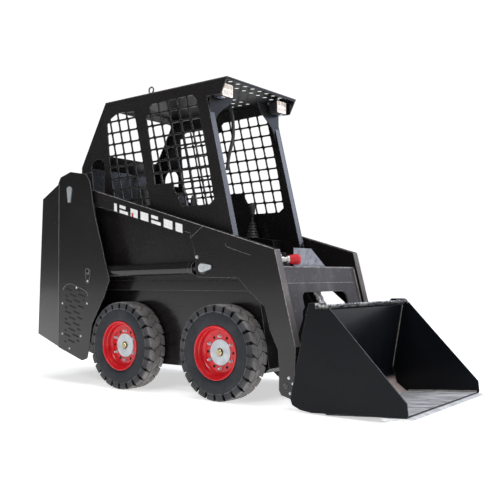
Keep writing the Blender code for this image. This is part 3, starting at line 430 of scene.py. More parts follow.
def tube(path, radius, steps, ripple=0.0, waves=0):
    """A round section carried along a path: path + r (cos a n + sin a b), r swelling with a ripple."""
    path = np.asarray(path, float)
    along = np.gradient(path, axis=0)
    along /= np.linalg.norm(along, axis=1)[:, None]
    helper = axes_of(path[-1] - path[0])[1]
    side = np.cross(along, helper)
    side /= np.linalg.norm(side, axis=1)[:, None]
    up = np.cross(side, along)
    angle = np.linspace(0, 2 * pi, steps, endpoint=False)
    swell = radius * (1 + ripple * np.sin(np.linspace(0, 2 * pi * waves, len(path))))
    spoke = np.cos(angle)[None, :, None] * side[:, None] + np.sin(angle)[None, :, None] * up[:, None]
    return surface(path[:, None] + swell[:, None, None] * spoke, wrap_columns=True, caps=True)


def smooth_path(points, count=40):
    """A curve through points by Catmull and Rom's cubic, sampled evenly in its parameter."""
    points = np.asarray(points, float)
    padded = np.vstack([2 * points[0] - points[1], points, 2 * points[-1] - points[-2]])
    t = np.linspace(0, len(points) - 1, count)
    index = np.minimum(t.astype(int), len(points) - 2)
    u = (t - index)[:, None]
    a, b, c, d = (padded[index + k] for k in range(4))
    return 0.5 * (2 * b + (c - a) * u + (2 * a - 5 * b + 4 * c - d) * u ** 2
                  + (3 * b - a - 3 * c + d) * u ** 3)


def straight(start, end, count=30):
    """Points spaced evenly from start to end."""
    return np.linspace(start, end, count)


def corner_arcs(corners, radius, steps=4):
    """An outline whose corners are quadratic arcs that start and end a radius away from each corner."""
    corners = np.asarray(corners, float)
    back = np.roll(corners, 1, 0) - corners
    ahead = np.roll(corners, -1, 0) - corners
    back_length, ahead_length = np.linalg.norm(back, axis=1), np.linalg.norm(ahead, axis=1)
    reach = np.minimum(radius, 0.45 * np.minimum(back_length, ahead_length))[:, None]
    start = corners + back / back_length[:, None] * reach
    end = corners + ahead / ahead_length[:, None] * reach
    t = np.linspace(0, 1, steps + 1)[None, :, None]
    arcs = (1 - t) ** 2 * start[:, None] + 2 * t * (1 - t) * corners[:, None] + t ** 2 * end[:, None]
    return arcs.reshape(-1, 2)


def shrunk(outline, distance):
    """Every point of an outline moved inwards along the mean normal of its two sides."""
    ahead = np.roll(outline, -1, 0) - outline
    behind = outline - np.roll(outline, 1, 0)
    area = np.sum(outline[:, 0] * np.roll(outline[:, 1], -1) - outline[:, 1] * np.roll(outline[:, 0], -1))
    tangent = sum(step / np.linalg.norm(step, axis=1)[:, None] for step in (ahead, behind))
    tangent /= np.linalg.norm(tangent, axis=1)[:, None]
    normal = np.stack([-tangent[:, 1], tangent[:, 0]], 1) * np.sign(area)
    return outline + normal * distance


def slab(outline, axis, low, high, edge):
    """An outline given a thickness from low to high along an axis, its edges broken by a small chamfer."""
    outline = np.asarray(outline, float)
    small = shrunk(outline, edge)
    levels = (low, low + edge, high - edge, high)
    rings = [np.insert(ring, "XYZ".index(axis), level, axis=1)
             for ring, level in zip((small, outline, outline, small), levels)]
    return surface(np.array(rings), wrap_columns=True, caps=True)


def drop(centre, radius, tip, tip_radius):
    """Outline of a keeper plate: a large round end, two straight sides and a small round end."""
    centre, tip = np.asarray(centre, float), np.asarray(tip, float)
    heading = np.arctan2(*(tip - centre)[::-1])
    lean = np.arccos((radius - tip_radius) / np.linalg.norm(tip - centre))
    big = np.linspace(heading + lean, heading + 2 * pi - lean, 20)
    small = np.linspace(heading - lean, heading + lean, 10)
    return np.vstack([centre + radius * np.stack([np.cos(big), np.sin(big)], 1),
                      tip + tip_radius * np.stack([np.cos(small), np.sin(small)], 1)])


def bolt(centre, direction, across, height):
    """A hexagon head with a chamfered crown on a round washer, by its width across the flats."""
    half = across / 2 / cos(pi / 6)
    head = turned([(half * 0.98, 0.0), (half, height * 0.1), (half, height * 0.8), (half * 0.82, height)],
                  centre, direction, 6)
    washer = turned([(across * 0.66, -0.0002), (across * 0.66, 0.0014), (across * 0.60, 0.0018)],
                    centre, direction, 20)
    return head + washer


def build(name, body, material, shape, angle=32.0, attribute=None):
    """Make a piece from a shape: one mesh, faces turned outwards, smooth but for its sharp edges."""
    mesh = bpy.data.meshes.new(name)
    mesh.from_pydata(shape.points.tolist(), [], shape.quads.tolist() + shape.caps)
    if attribute:
        key, values = attribute
        mesh.attributes.new(key, "FLOAT", "POINT").data.foreach_set("value", values.astype(np.float32))
    work = bmesh.new()
    work.from_mesh(mesh)
    bmesh.ops.recalc_face_normals(work, faces=work.faces)
    work.to_mesh(mesh)
    work.free()
    mesh.materials.append(material)
    mesh.shade_smooth()
    mesh.set_sharp_from_angle(angle=radians(angle))
    piece = bpy.data.objects.new(name, mesh)
    bpy.context.collection.objects.link(piece)
    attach(piece, body)
    return piece


def eased(node, name, body, material, width):
    """A copy of a plate part with its loose triangles merged and its sharp edges really rounded."""
    mesh = NODES[node].data.copy()
    work = bmesh.new()
    work.from_mesh(mesh)
    bmesh.ops.remove_doubles(work, verts=work.verts, dist=0.00002)
    bmesh.ops.dissolve_limit(work, angle_limit=radians(1.0), verts=work.verts, edges=work.edges)
    work.to_mesh(mesh)
    work.free()
    mesh.name = name
    mesh.materials.clear()
    mesh.materials.append(material)
    mesh.shade_smooth()
    piece = bpy.data.objects.new(name, mesh)
    bpy.context.collection.objects.link(piece)
    bevel = piece.modifiers.new("eased_edges", "BEVEL")
    bevel.width = width
    bevel.segments = 2
    bevel.limit_method = "ANGLE"
    bevel.angle_limit = radians(8.0)
    flats = piece.modifiers.new("flat_faces", "WEIGHTED_NORMAL")
    flats.weight = 100
    flats.keep_sharp = True
    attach(piece, body)
    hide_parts(node)


# ---------------------------------------------------------------- wheels
LUGS = 24
TYRE_LOW, TYRE_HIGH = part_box("tyre_front_right")
TYRE_R = (TYRE_HIGH.z - TYRE_LOW.z) / 2
TYRE_W = TYRE_HIGH.y - TYRE_LOW.y
TREAD_FLOOR = 0.2560          # radius at the bottom of the grooves
BLOCK_SIDE = 0.014            # share of a pitch that the slope between groove and block takes
BLOCK_BEND = 0.009            # how far across the tread a rib's side swings from column to column
DISH = 0.055                  # how deep the wheel disc lies behind the tyre's face
HUB_PLATE = 0.0046            # thickness of the plate over the hub
NUT_CIRCLE, SHADE_CIRCLE = 0.0905, 0.0922


def tyre_rows():
    """Half of the tyre's section, from the outer bead to the middle of the tread. Each row holds the radius
    and depth over the blocks, radius and depth in the grooves, groove half width and lean in shares of the
    lug pitch, tread dust (below 0 it is painted shade), and how far the block's sides are bent."""
    r = TYRE_R
    wall = [(0.1530, 0.0060), (0.160, 0.0030), (0.172, 0.0012), (0.190, 0.0004), (0.208, 0.0006),
            (0.221, 0.0016), (0.2255, 0.0026), (0.2275, 0.0006), (0.2300, 0.0006), (0.2315, 0.0028)]
    rows = [(a, b, a, b, 0.10, 0.0, 0.55 * (0.2265 < a < 0.2310), 0.0) for a, b in wall]
    rows += [(0.2335, 0.0014, 0.2325, 0.0070, 0.11, 0.0, 0.10, 0.0),
             (0.2560, 0.0022, 0.2480, 0.0105, 0.12, 0.0, 0.14, 0.0),
             (r - 0.0075, 0.0040, 0.2500, 0.0130, 0.13, 0.0, 0.22, 0.0),
             (r - 0.0030, 0.0085, 0.2520, 0.0160, 0.12, 0.00, 0.9, 0.0),
             (r - 0.0010, 0.0150, 0.2535, 0.0200, 0.085, 0.05, 1.0, 0.2)]
    for y, lean, bend in ((0.026, 0.12, 0.6), (0.036, 0.20, 0.9), (0.0445, 0.26, 1.0)):
        rows.append((r - 0.0004, y, TREAD_FLOOR, y, 0.036, lean, 1.0, bend))
    # rows with a low top form the middle channel; their -0.7 is painted shade
    for y, top in ((0.0450, r - 0.001), (0.0462, 0.2585), (0.0485, 0.2585), (0.0497, r - 0.001)):
        rows.append((top, y, TREAD_FLOOR, y, 0.032, 0.27, 1.0 if top > 0.26 else -0.7, 1.0))
    for y, lean in ((0.0505, 0.26), (0.058, 0.13), (0.066, 0.03), (TYRE_W / 2, 0.0)):
        rows.append((r, y, TREAD_FLOOR, y, 0.030, lean, 1.0, 1.0))
    return np.array(rows)


def tyre(wheel, side):
    """Tyre as a grid: round the wheel 24 lug pitches of 7 columns, across it the rows of tyre_rows and
    their mirror. A point lies on the block profile or on the groove profile; grooves lean with the rows and
    the ribs' sides bend with the columns, so that the blocks interlock."""
    half = tyre_rows()
    other = half[-2::-1].copy()
    other[:, 1], other[:, 3] = TYRE_W - other[:, 1], TYRE_W - other[:, 3]
    other[:, 5] *= -1
    rows = np.vstack([half, other])
    open_half = rows[:, 4]
    shoulder = open_half + BLOCK_SIDE
    knots = [shoulder + (1 - 2 * shoulder) * share for share in (0.0, 0.25, 0.5, 0.75)]
    knots = np.stack([-open_half, open_half, *knots, 1 - shoulder], 1)
    in_groove = np.array([1, 1, 0, 0, 0, 0, 0], float)
    pitch = np.arange(LUGS)[None, :, None]
    turn = (pitch + knots[:, None, :] + rows[:, 5, None, None]).reshape(len(rows), -1) * (2 * pi / LUGS)
    deep = np.tile(in_groove, LUGS)[None, :]
    radius = rows[:, 0, None] * (1 - deep) + rows[:, 2, None] * deep
    depth = rows[:, 1, None] * (1 - deep) + rows[:, 3, None] * deep
    bend = (1 - 2 * abs((knots % 1.0) - 0.5))[:, None, :].repeat(LUGS, 1).reshape(len(rows), -1)
    depth = depth + rows[:, 7, None] * (bend - 0.5) * BLOCK_BEND
    # grooves get -1.3 below the blocks' dust: painted shade, drawn near black by the tyre finish
    dust = rows[:, 6, None] * (1 - deep) - 1.3 * deep * (rows[:, 0, None] > 0.232)
    dust = np.broadcast_to(dust, turn.shape)
    low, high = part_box("tyre_" + wheel)
    centre = (low + high) / 2
    face = high.y if side > 0 else low.y
    points = np.stack([centre.x + radius * np.sin(turn), face - side * depth + 0 * turn,
                       centre.z + radius * np.cos(turn)], -1)
    shape = surface(points, wrap_rows=True, wrap_columns=True)
    piece = build("tread_tyre_" + wheel, "wheel_" + wheel, TYRE, shape, 24.0,
                  ("tread", dust.ravel()))
    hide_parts("tyre_" + wheel)


def rim(wheel, side):
    """Deep wheel: a turned section with a rolled lip and stepped barrel, six vents cut in its dish, and the
    hub's plate, bolt and nuts."""
    low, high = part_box("tyre_" + wheel)
    centre = (low + high) / 2
    face = np.array([centre.x, high.y if side > 0 else low.y, centre.z])
    inward = np.array([0.0, -side, 0.0])
    body = "wheel_" + wheel
    vent_in, vent_out, hole = 0.076, 0.1085, 0.0090
    section = [(0.1520, 0.012), (0.1520, 0.0035), (0.1510, 0.0018), (0.1485, 0.0008), (0.1455, 0.0010),
               (0.1430, 0.0024), (0.1415, 0.0050), (0.1408, 0.010), (0.1395, 0.020), (0.1375, 0.0235),
               (0.1335, 0.0250), (0.1318, 0.0280), (0.1305, 0.038), (0.1275, 0.0475), (0.1215, 0.0525),
               (0.1130, DISH), (vent_out, DISH), (vent_out, DISH + 0.005), (vent_in, DISH + 0.005),
               (vent_in, DISH), (0.030, DISH), (0.030, DISH + 0.007), (0.128, DISH + 0.007),
               (0.1370, DISH + 0.020), (0.1400, 0.130), (0.1520, 0.136)]
    shape = turned(section, face, inward, 72, ring=True)
    ring = np.linspace(0, 2 * pi, 24, endpoint=False)
    square = np.stack([np.cos(ring), np.sin(ring)], 1)
    square = square / np.abs(square).max(1)[:, None]
    corner = 0.5 * (vent_in + vent_out)
    shells = []
    for sector in range(6):
        middle = radians(60) * sector
        reach = corner + square[:, 0] * (vent_out - vent_in) / 2
        heading = middle + square[:, 1] * pi / 6
        border = np.stack([reach * np.cos(heading), reach * np.sin(heading)], 1)
        spot = np.array([corner * cos(middle), corner * sin(middle)])
        circle = spot + hole * np.stack([np.cos(ring + middle), np.sin(ring + middle)], 1)
        rings = [(border, DISH + 0.0045), (border, DISH), (circle, DISH), (circle, DISH + 0.0045)]
        rows = [face + inward * depth + np.insert(flat, 1, 0.0, axis=1) for flat, depth in rings]
        shells.append(surface(np.array(rows), wrap_columns=True))
    piece = build("dished_rim_" + wheel, body, RED, shape + total(shells), 30.0)
    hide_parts("wheel_rim_" + wheel)
    seat = face + inward * DISH
    plate = turned([(0.073, 0.0), (0.073, 0.0030), (0.0715, 0.0042), (0.030, HUB_PLATE), (0.012, HUB_PLATE)],
                   seat, -inward, 56)
    build("hub_plate_" + wheel, body, HUB, plate)
    hub = bolt(seat - inward * HUB_PLATE, -inward, 0.036, 0.013)
    hub = hub + turned([(0.0075, 0.0), (0.0075, 0.021), (0.006, 0.0225)], seat, -inward, 16)
    build("hub_bolt_" + wheel, body, PASSIVATED, hub)
    # a dark ring round the hub plate and dark discs behind the vents: painted shade
    shade_ring = [(0.0225, 0.0045), (0.0225, 0.0070), (0.0210, 0.0078), (0.0165, 0.0078), (0.0165, 0.0045)]
    shade, nuts = [turned(shade_ring, seat, -inward, 28, ring=True)], []
    for k in range(6):
        foot = seat + SHADE_CIRCLE * np.array([cos(pi / 3 * k), 0, sin(pi / 3 * k)])
        shade.append(turned([(0.0088, -0.0030), (0.0088, -0.0022), (0.0070, -0.0020)], foot, -inward, 16))
        turn = pi / 3 * (k + 0.5)
        foot = seat + NUT_CIRCLE * np.array([cos(turn), 0, sin(turn)])
        nuts.append(bolt(foot, -inward, 0.0155, 0.012))
        nuts.append(turned([(0.0058, 0.0), (0.0058, 0.0175), (0.0046, 0.019)], foot, -inward, 14))
    build("hub_shade_" + wheel, body, PAINTED_SHADE, total(shade))
    build("wheel_nuts_" + wheel, body, HUB, total(nuts))


for wheel, side in WHEELS:
    tyre(wheel, side)
    rim(wheel, side)


# ---------------------------------------------------------------- plate work from the frame
for label, side in SIDES:
    eased("lift_arm_" + label, "arm_plates_" + label, "lift_arms", GLOSS, 0.0016)
    eased("tower_" + label, "tower_plates_" + label, "chassis", GLOSS, 0.0014)
    eased("side_rail_" + label, "rail_" + label, "chassis", GLOSS, 0.0020)
eased("arm_crossmember", "crossmember", "lift_arms", SATIN, 0.0018)
eased("bucket_shell", "bucket_plates", "bucket", BUCKET, 0.0014)
eased("coupler_bracket", "scuffed_bracket", "lift_arms", PLATE_STEEL, 0.0012)
eased("counterweight", "rear_weight", "chassis", CAST, 0.006)

FINISHES = {
    GLOSS: ("chassis_tub", "engine_cover", "rear_frame", "rear_door", "lift_right_barrel", "lift_left_barrel",
            "tilt_barrel", "hydraulic_coupler"),
    PANEL: ("cab_side_right", "cab_side_left", "cab_rear_panel"),
    ROOF: ("cab_roof",),
    SHADE: ("engine_bulkhead", "console_right", "console_left", "seat_base", "foot_plate"),
    SATIN: ("hitch_plate", "lifting_eye_right", "lifting_eye_left"),
    ZINC: ("arm_pin_right", "arm_pin_left"),
    CHROME: ("lift_right_rod", "lift_left_rod", "tilt_rod"),
    EDGE_STEEL: ("cutting_edge",),
    CAST: ("axle_front", "axle_rear", "engine_block"),
    GRIP: ("joystick_right", "joystick_left"),
    HOUSING: ("work_light_right", "work_light_left"),
}
for finish, names in FINISHES.items():
    for node_name in names:
        mesh = NODES[node_name].data
        mesh.materials.clear()
        mesh.materials.append(finish)


# ---------------------------------------------------------------- lamps
def lamp(label, side):
    """A milky lens, two rows of three reflector cups, a knob on top and a bracket behind."""
    low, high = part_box("work_light_" + label)
    face, middle_y, middle_z = high.x, (low.y + high.y) / 2, (low.z + high.z) / 2
    wide, tall = high.y - low.y - 0.004, high.z - low.z - 0.003
    square = [(middle_y + u * wide / 2, middle_z + v * tall / 2)
              for u, v in ((-1, -1), (1, -1), (1, 1), (-1, 1))]
    lens = slab(corner_arcs(square, 0.010), "X", face - 0.001, face + 0.005, 0.002)
    build("lens_" + label, "chassis", LENS, lens)
    cup = [(0.0125, 0.0), (0.0125, 0.0022), (0.0105, 0.0022), (0.0060, 0.0006), (0.0020, 0.0012)]
    cups = [turned(cup, (face + 0.0045, middle_y + column * wide * 0.31, middle_z + row * tall * 0.24),
                   (1, 0, 0), 16) for row in (-1, 1) for column in (-1, 0, 1)]
    build("lens_cups_" + label, "chassis", CUP, total(cups))
    knob = turned([(0.004, 0.0), (0.004, 0.010), (0.010, 0.011), (0.012, 0.015), (0.010, 0.020)],
                  (face - 0.020, middle_y - 0.012, high.z - 0.001), (0, 0, 1), 16)
    outline = np.array([(-0.045, low.z - 0.006), (-0.010, low.z - 0.006), (-0.010, low.z + 0.004),
                        (-0.033, low.z + 0.010), (-0.090, high.z + 0.012), (-0.120, high.z + 0.012)])
    outline[:, 0] += face
    arm = slab(corner_arcs(outline, 0.008), "Y", middle_y + side * 0.008, middle_y + side * 0.038, 0.0015)
    build("lamp_bracket_" + label, "chassis", BRACKET, knob + arm)


for label, side in SIDES:
    lamp(label, side)


# ---------------------------------------------------------------- towers
ORIGIN_X = JOINTS["wheel_front_right_spin"]["pos_m"][0]      # the front axle
PIN_HEAD = 0.004              # the lift cylinder's pin stands this far proud of the plate
TOWER_FACE = -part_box("tower_right")[0].y - PIN_HEAD


def at(x, side, y, z):
    """A point from its distance ahead of the front axle, side, distance off the middle and height."""
    return (ORIGIN_X + x, side * y, z)


def moved(outline):
    """An outline of (distance ahead of the front axle, height), in the machine's own frame."""
    return np.asarray(outline, float) + (ORIGIN_X, 0.0)


def vents(label, side):
    """Rows of short slots as dark patches of painted shade, slanting down towards the front in the tower's
    lower corner, each row shifted by half a pitch and cut short by the panel's edges, with the panel's screws
    and its upper edge, a light line of painted highlight and rubbed wear."""
    slot_shades, pitch, length, tall, slant = [], 0.085, 0.064, 0.010, 0.25
    faces = side * (TOWER_FACE - 0.002), side * (TOWER_FACE + 0.0006)
    for row in range(10):
        height = 0.280 + 0.0375 * row
        for column in range(4):
            start = -1.345 + (column + 0.5 * (row % 2)) * pitch + 0.002 * row
            rear, front = max(start, -1.300 + 0.001 * row), min(start + length, -1.150 + 0.0075 * row)
            if front - rear < 0.014:
                continue
            one, two = height - (rear - start) * slant, height - (front - start) * slant
            corners = moved([(rear, one), (front, two), (front, two + tall), (rear, one + tall)])
            slot_shades.append(slab(corner_arcs(corners, 0.004, 2), "Y", *faces, 0.0003))
    # the slots are dark patches on the plate: painted shade
    build("vent_slots_" + label, "chassis", PAINTED_SHADE, total(slot_shades))
    places = ((-1.177, 0.626), (-1.319, 0.522), (-1.073, 0.526), (-1.318, 0.322), (-1.132, 0.314),
              (-1.245, 0.228))
    screws = total(bolt(at(x, side, TOWER_FACE, z), (0, side, 0), 0.011, 0.004) for x, z in places)
    build("vent_screws_" + label, "chassis", ZINC, screws)
    places = ((-1.318, 0.606), (-1.295, 0.636), (-1.236, 0.651), (-1.172, 0.632), (-1.092, 0.608),
              (-1.063, 0.573))
    # the panel's upper edge as a light line: painted highlight and rubbed wear
    upper = smooth_path([at(x, side, TOWER_FACE, z) for x, z in places], 50)
    build("vent_edge_" + label, "chassis", RUBBED_HIGHLIGHT, tube(upper, 0.0011, 8))


def tower_fittings(label, side):
    """Black keeper of the lift cylinder's lower pin, its round head and its screw."""
    x, _, z = JOINTS["lift_barrel_%s_swing" % label]["pos_m"]
    plate = slab(drop((x, z), 0.024, (x, z - 0.060), 0.014), "Y", side * TOWER_FACE,
                 side * (TOWER_FACE + 0.003), 0.001)
    head = turned([(0.015, 0.0), (0.015, 0.0045), (0.013, 0.0055)], (x, side * TOWER_FACE, z),
                  (0, side, 0), 24)
    screw = bolt((x, side * (TOWER_FACE + 0.003), z - 0.058), (0, side, 0), 0.012, 0.0027)
    build("base_keeper_" + label, "chassis", GLOSS, plate + head)
    build("base_screw_" + label, "chassis", ZINC, screw)


for label, side in SIDES:
    vents(label, side)
    tower_fittings(label, side)


# ---------------------------------------------------------------- lift arms
ARM_FACE = -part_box("lift_arm_right")[0].y


def arm_marking(label, side):
    """Generic slanting bars along the beam, every third one split in two, and a small red bar."""
    rear, front = np.array([-0.845, 1.136]), np.array([-0.262, 0.972])
    length = np.linalg.norm(front - rear)
    along = (front - rear) / length
    slant = np.array([-along[1], along[0]]) - 0.30 * along
    widths, half = (0.026, 0.078, 0.064, 0.070, 0.082, 0.074, 0.056), 0.024
    gap = (length - sum(widths)) / (len(widths) - 1)

    def strip(foot, low, high, width, proud):
        corners = [foot + slant * low, foot + slant * low + along * width,
                   foot + slant * high + along * width, foot + slant * high]
        return slab(moved(corners), "Y", side * (ARM_FACE - 0.0002), side * (ARM_FACE + proud), 0.0002)

    bars, place = [], 0.0
    for number, width in enumerate(widths):
        foot = rear + along * place
        place += width + gap
        if number % 3 == 1:
            bars.append(strip(foot, -half, -half * 0.22, width, 0.0006))
            bars.append(strip(foot, half * 0.22, half, width * 0.72, 0.0006))
        else:
            bars.append(strip(foot, -half, half, width, 0.0006))
    build("arm_bars_" + label, "lift_arms", WHITE, total(bars))
    accent = strip(rear + along * 0.165, -half, 0.0, 0.016, 0.0010)
    build("arm_accent_" + label, "lift_arms", RED_MARK, accent)


def bead(start, end, radius, waves):
    """A weld: a straight tube whose radius ripples where each drop of metal set."""
    return tube(straight(start, end, 4 * waves), radius, 8, 0.22, waves)


def arm_fittings(label, side):
    """The cylinder's front pin with its boss and drop-shaped keeper, a bolt above it, the seams of the arm's
    plates, light strips along their edges as rubbed wear and painted highlight, and the bolts at its toe."""
    x, z = -0.105, 0.742
    boss = turned([(0.034, -0.001), (0.034, 0.004), (0.031, 0.006), (0.018, 0.006)], at(x, side, ARM_FACE, z),
                  (0, side, 0), 32)
    build("pin_boss_" + label, "lift_arms", GLOSS, boss)
    plate = slab(moved(drop((x, z), 0.025, (x + 0.058, z + 0.004), 0.013)), "Y", side * (ARM_FACE + 0.006),
                 side * (ARM_FACE + 0.012), 0.0012)
    head = turned([(0.014, 0.0), (0.014, 0.006), (0.012, 0.008)], at(x, side, ARM_FACE + 0.011, z),
                  (0, side, 0), 20)
    screws = bolt(at(x + 0.054, side, ARM_FACE + 0.012, z + 0.004), (0, side, 0), 0.011, 0.005)
    screws = screws + bolt(at(-0.150, side, ARM_FACE, 0.805), (0, side, 0), 0.015, 0.008)
    build("pin_keeper_" + label, "lift_arms", ZINC, plate + head + screws)
    seams = [straight(at(-0.104, side, ARM_FACE, 0.981), at(-0.203, side, ARM_FACE, 0.916)),
             smooth_path([at(0.060, side, ARM_FACE, 0.876), at(0.066, side, ARM_FACE, 0.862),
                          at(0.093, side, ARM_FACE, 0.850), at(0.232, side, ARM_FACE, 0.808)], 30)]
    seams = total(tube(path, 0.0011, 8) for path in seams)
    build("arm_seams_" + label, "lift_arms", SATIN, seams)
    top = straight(at(-1.020, side, ARM_FACE, 1.2496), at(0.391, side, ARM_FACE, 0.8362))
    front = straight(at(0.394, side, ARM_FACE, 0.833), at(0.521, side, ARM_FACE, 0.327))
    # the top and front edges drawn as light strips: painted highlight and rubbed wear
    build("arm_rubbed_edges_" + label, "lift_arms", RUBBED_HIGHLIGHT, tube(top, 0.0017, 8) + tube(front, 0.0014, 8))
    flange = [(0.3945, 0.8330), (0.5215, 0.3280), (0.5220, 0.3285), (0.3950, 0.8335)]
    inner, outer = sorted((side * (ARM_FACE - 0.0485), side * (ARM_FACE - 0.0015)))
    build("arm_flange_" + label, "lift_arms", FLANGE, slab(moved(flange), "Y", inner, outer, 0.0001))
    toe = [bolt(at(px, side, ARM_FACE, pz), (0, side, 0), across, 0.006) for px, pz, across in
           ((0.480, 0.168, 0.013), (0.488, 0.090, 0.012), (0.505, 0.140, 0.011))]
    build("toe_bolts_" + label, "lift_arms", ZINC, total(toe))


for label, side in SIDES:
    arm_marking(label, side)
    arm_fittings(label, side)


# ---------------------------------------------------------------- crossmember and coupler


def cross_point(y, height):
    """A point on the front of the leaning crossmember."""
    low, high = np.array([0.490, 0.362]), np.array([0.395, 0.744])
    t = (height - low[1]) / (high[1] - low[1])
    x, z = low + (high - low) * t
    return np.array([ORIGIN_X + x, y, z])


edge_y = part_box("arm_crossmember")[1].y
welds = [bead(cross_point(side * edge_y, 0.395), cross_point(side * edge_y, 0.735), 0.0045, 34)
         for _, side in SIDES]
build("cross_welds", "lift_arms", WELD, total(welds))
# light lines along the bend and the top edge: painted highlight and rubbed wear
fold = [tube(straight(cross_point(-edge_y + 0.03, 0.655), cross_point(edge_y - 0.04, 0.655)), 0.0016, 8),
        tube(straight(cross_point(-edge_y + 0.004, 0.743), cross_point(edge_y - 0.004, 0.743)), 0.0040, 10)]
build("cross_folds", "lift_arms", RUBBED_HIGHLIGHT, total(fold))

cap_at = np.array(at(0.372, -1, 0.276, 0.784))
toward = axes_of((0.55, 0.80, 0.02))[0]
ribs = [(0.021, 0.0)]
for k in range(9):
    radius, along = 0.0245 + 0.0007 * k, 0.004 + 0.0052 * k
    ribs += [(radius, along), (radius, along + 0.0025), (radius - 0.002, along + 0.0032)]
ribs += [(0.029, 0.055), (0.027, 0.060), (0.010, 0.0605)]
build("coupler_cap", "lift_arms", RED_CAP, turned(ribs, cap_at, toward, 36), angle=50.0)
neck = turned([(0.012, -0.050), (0.016, -0.046), (0.016, -0.030), (0.013, -0.028), (0.013, -0.012),
               (0.020, -0.011), (0.020, 0.0)], cap_at, toward, 24)
block_low, block_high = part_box("hydraulic_coupler")
stem = smooth_path([(block_high.x - 0.014, block_low.y + 0.030, block_high.z - 0.012),
                    cap_at - toward * 0.075 + (0, 0, -0.008), cap_at - toward * 0.045])
build("coupler_neck", "lift_arms", WHITE_METAL, neck + tube(stem, 0.011, 14))

# ---------------------------------------------------------------- bucket welds
inner_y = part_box("bucket_shell")[1].y - 0.006
beads = []
for _, side in SIDES:
    beads.append(bead(at(0.692, side, inner_y, 0.520), at(0.624, side, inner_y, 0.150), 0.0035, 40))
    beads.append(bead(at(0.725, side, inner_y, 0.016), at(1.135, side, inner_y, 0.047), 0.0042, 44))
build("bucket_welds", "bucket", WELD, total(beads))

# ---------------------------------------------------------------- cab fittings
CAB_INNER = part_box("cab_side_left")[1].y - 0.007
CAB_CEILING, GUSSET_FOOT = 1.796, 1.585
for label, side in SIDES:
    curve = smooth_path([(0.120, CAB_CEILING), (0.150, 1.745), (0.215, 1.700), (0.275, 1.650),
                         (0.312, GUSSET_FOOT)], 14)
    outline = np.vstack([curve, [(CAB_INNER, GUSSET_FOOT), (CAB_INNER, CAB_CEILING)]])
    outline[:, 0] *= side
    gusset = slab(outline, "X", ORIGIN_X - 0.135, ORIGIN_X - 0.127, 0.0015)
    build("corner_gusset_" + label, "chassis", SHADE, gusset)
grab = smooth_path([at(x, -1, y, z) for x, y, z in
                    ((-0.205, 0.080, 1.775), (-0.180, 0.080, 1.700), (-0.170, 0.080, 1.620),
                     (-0.172, 0.080, 1.545), (-0.200, 0.085, 1.440), (-0.212, 0.090, 1.350))], 50)
build("grab_handle", "chassis", GRIP, tube(grab, 0.011, 14))

for label, side in SIDES:
    low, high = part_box("joystick_" + label)
    foot = np.array([(low.x + high.x) / 2, (low.y + high.y) / 2, low.z])
    folds = []
    # the bellows' ribs drawn light: painted highlight and rubbed wear
    for fold in range(5):
        wide, up = 0.0470 - 0.00467 * fold, 0.018 * fold + 0.0055
        ridge = [(wide, up), (wide + 0.001, up + 0.001), (wide, up + 0.0024), (wide - 0.001, up + 0.001)]
        folds.append(turned(ridge, foot, (0, 0, 1), 28, ring=True))
    build("bellows_ribs_" + label, "chassis", RUBBED_HIGHLIGHT, total(folds))

# ---------------------------------------------------------------- rear door and engine
DOOR_LOW, DOOR_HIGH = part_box("rear_door")
door_x = DOOR_LOW.x
handle_y = -0.300
bow = [(0.001, 0.80), (-0.030, 0.81), (-0.034, 0.84), (-0.034, 0.90), (-0.030, 0.93), (0.001, 0.94)]
handle = tube(smooth_path([(door_x + proud, handle_y, z) for proud, z in bow], 50), 0.007, 14)
for z in (0.80, 0.94):
    handle = handle + turned([(0.019, -0.001), (0.019, 0.004), (0.016, 0.006)], (door_x, handle_y, z),
                             (-1, 0, 0), 24)
build("door_handle", "rear_door", GRIP, handle)
lock = turned([(0.016, -0.001), (0.016, 0.005), (0.013, 0.007), (0.005, 0.007), (0.004, 0.003)],
              (door_x, handle_y, 0.720), (-1, 0, 0), 24)
build("door_lock", "rear_door", ZINC, lock)
hinges, screws = [], []
hinge_x, hinge_y = door_x - 0.004, DOOR_HIGH.y - 0.008
for z in (0.600, 0.830, 1.060):
    leaf = [(hinge_y - 0.070, z - 0.030), (hinge_y, z - 0.030), (hinge_y, z + 0.030),
            (hinge_y - 0.070, z + 0.030)]
    hinges.append(slab(corner_arcs(leaf, 0.008), "X", hinge_x, door_x + 0.0005, 0.001))
    hinges.append(turned([(0.006, -0.034), (0.007, -0.033), (0.007, 0.033), (0.006, 0.034)],
                         (hinge_x, hinge_y, z), (0, 0, 1), 18))
    for across in (0.054, 0.026):
        screws.append(bolt((hinge_x, hinge_y - across, z), (-1, 0, 0), 0.012, 0.005))
build("door_hinges", "rear_door", GLOSS, total(hinges))
build("door_hinge_bolts", "rear_door", ZINC, total(screws))
WEIGHT_LOW, WEIGHT_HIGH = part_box("counterweight")
weight_z = (WEIGHT_LOW.z + WEIGHT_HIGH.z) / 2 + 0.02
plugs = [bolt((WEIGHT_LOW.x - 0.0002, y, weight_z), (-1, 0, 0), 0.024, 0.012)
         for y in (-0.300, -0.100, 0.100, 0.300)]
build("weight_bolts", "chassis", ZINC, total(plugs))
ENGINE_LOW, ENGINE_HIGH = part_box("engine_block")
back, foot, top = ENGINE_LOW.x, ENGINE_LOW.z, ENGINE_HIGH.z
rib = corner_arcs([(back - 0.012, foot + 0.04), (back + 0.004, foot + 0.04), (back + 0.004, top - 0.16),
                   (back - 0.012, top - 0.18)], 0.004)
ribs = [slab(rib, "Y", y - 0.004, y + 0.004, 0.001) for y in np.linspace(-0.180, 0.180, 7)]
head = [(back + 0.030, top - 0.002), (back + 0.300, top - 0.002), (back + 0.280, top + 0.060),
        (back + 0.050, top + 0.060)]
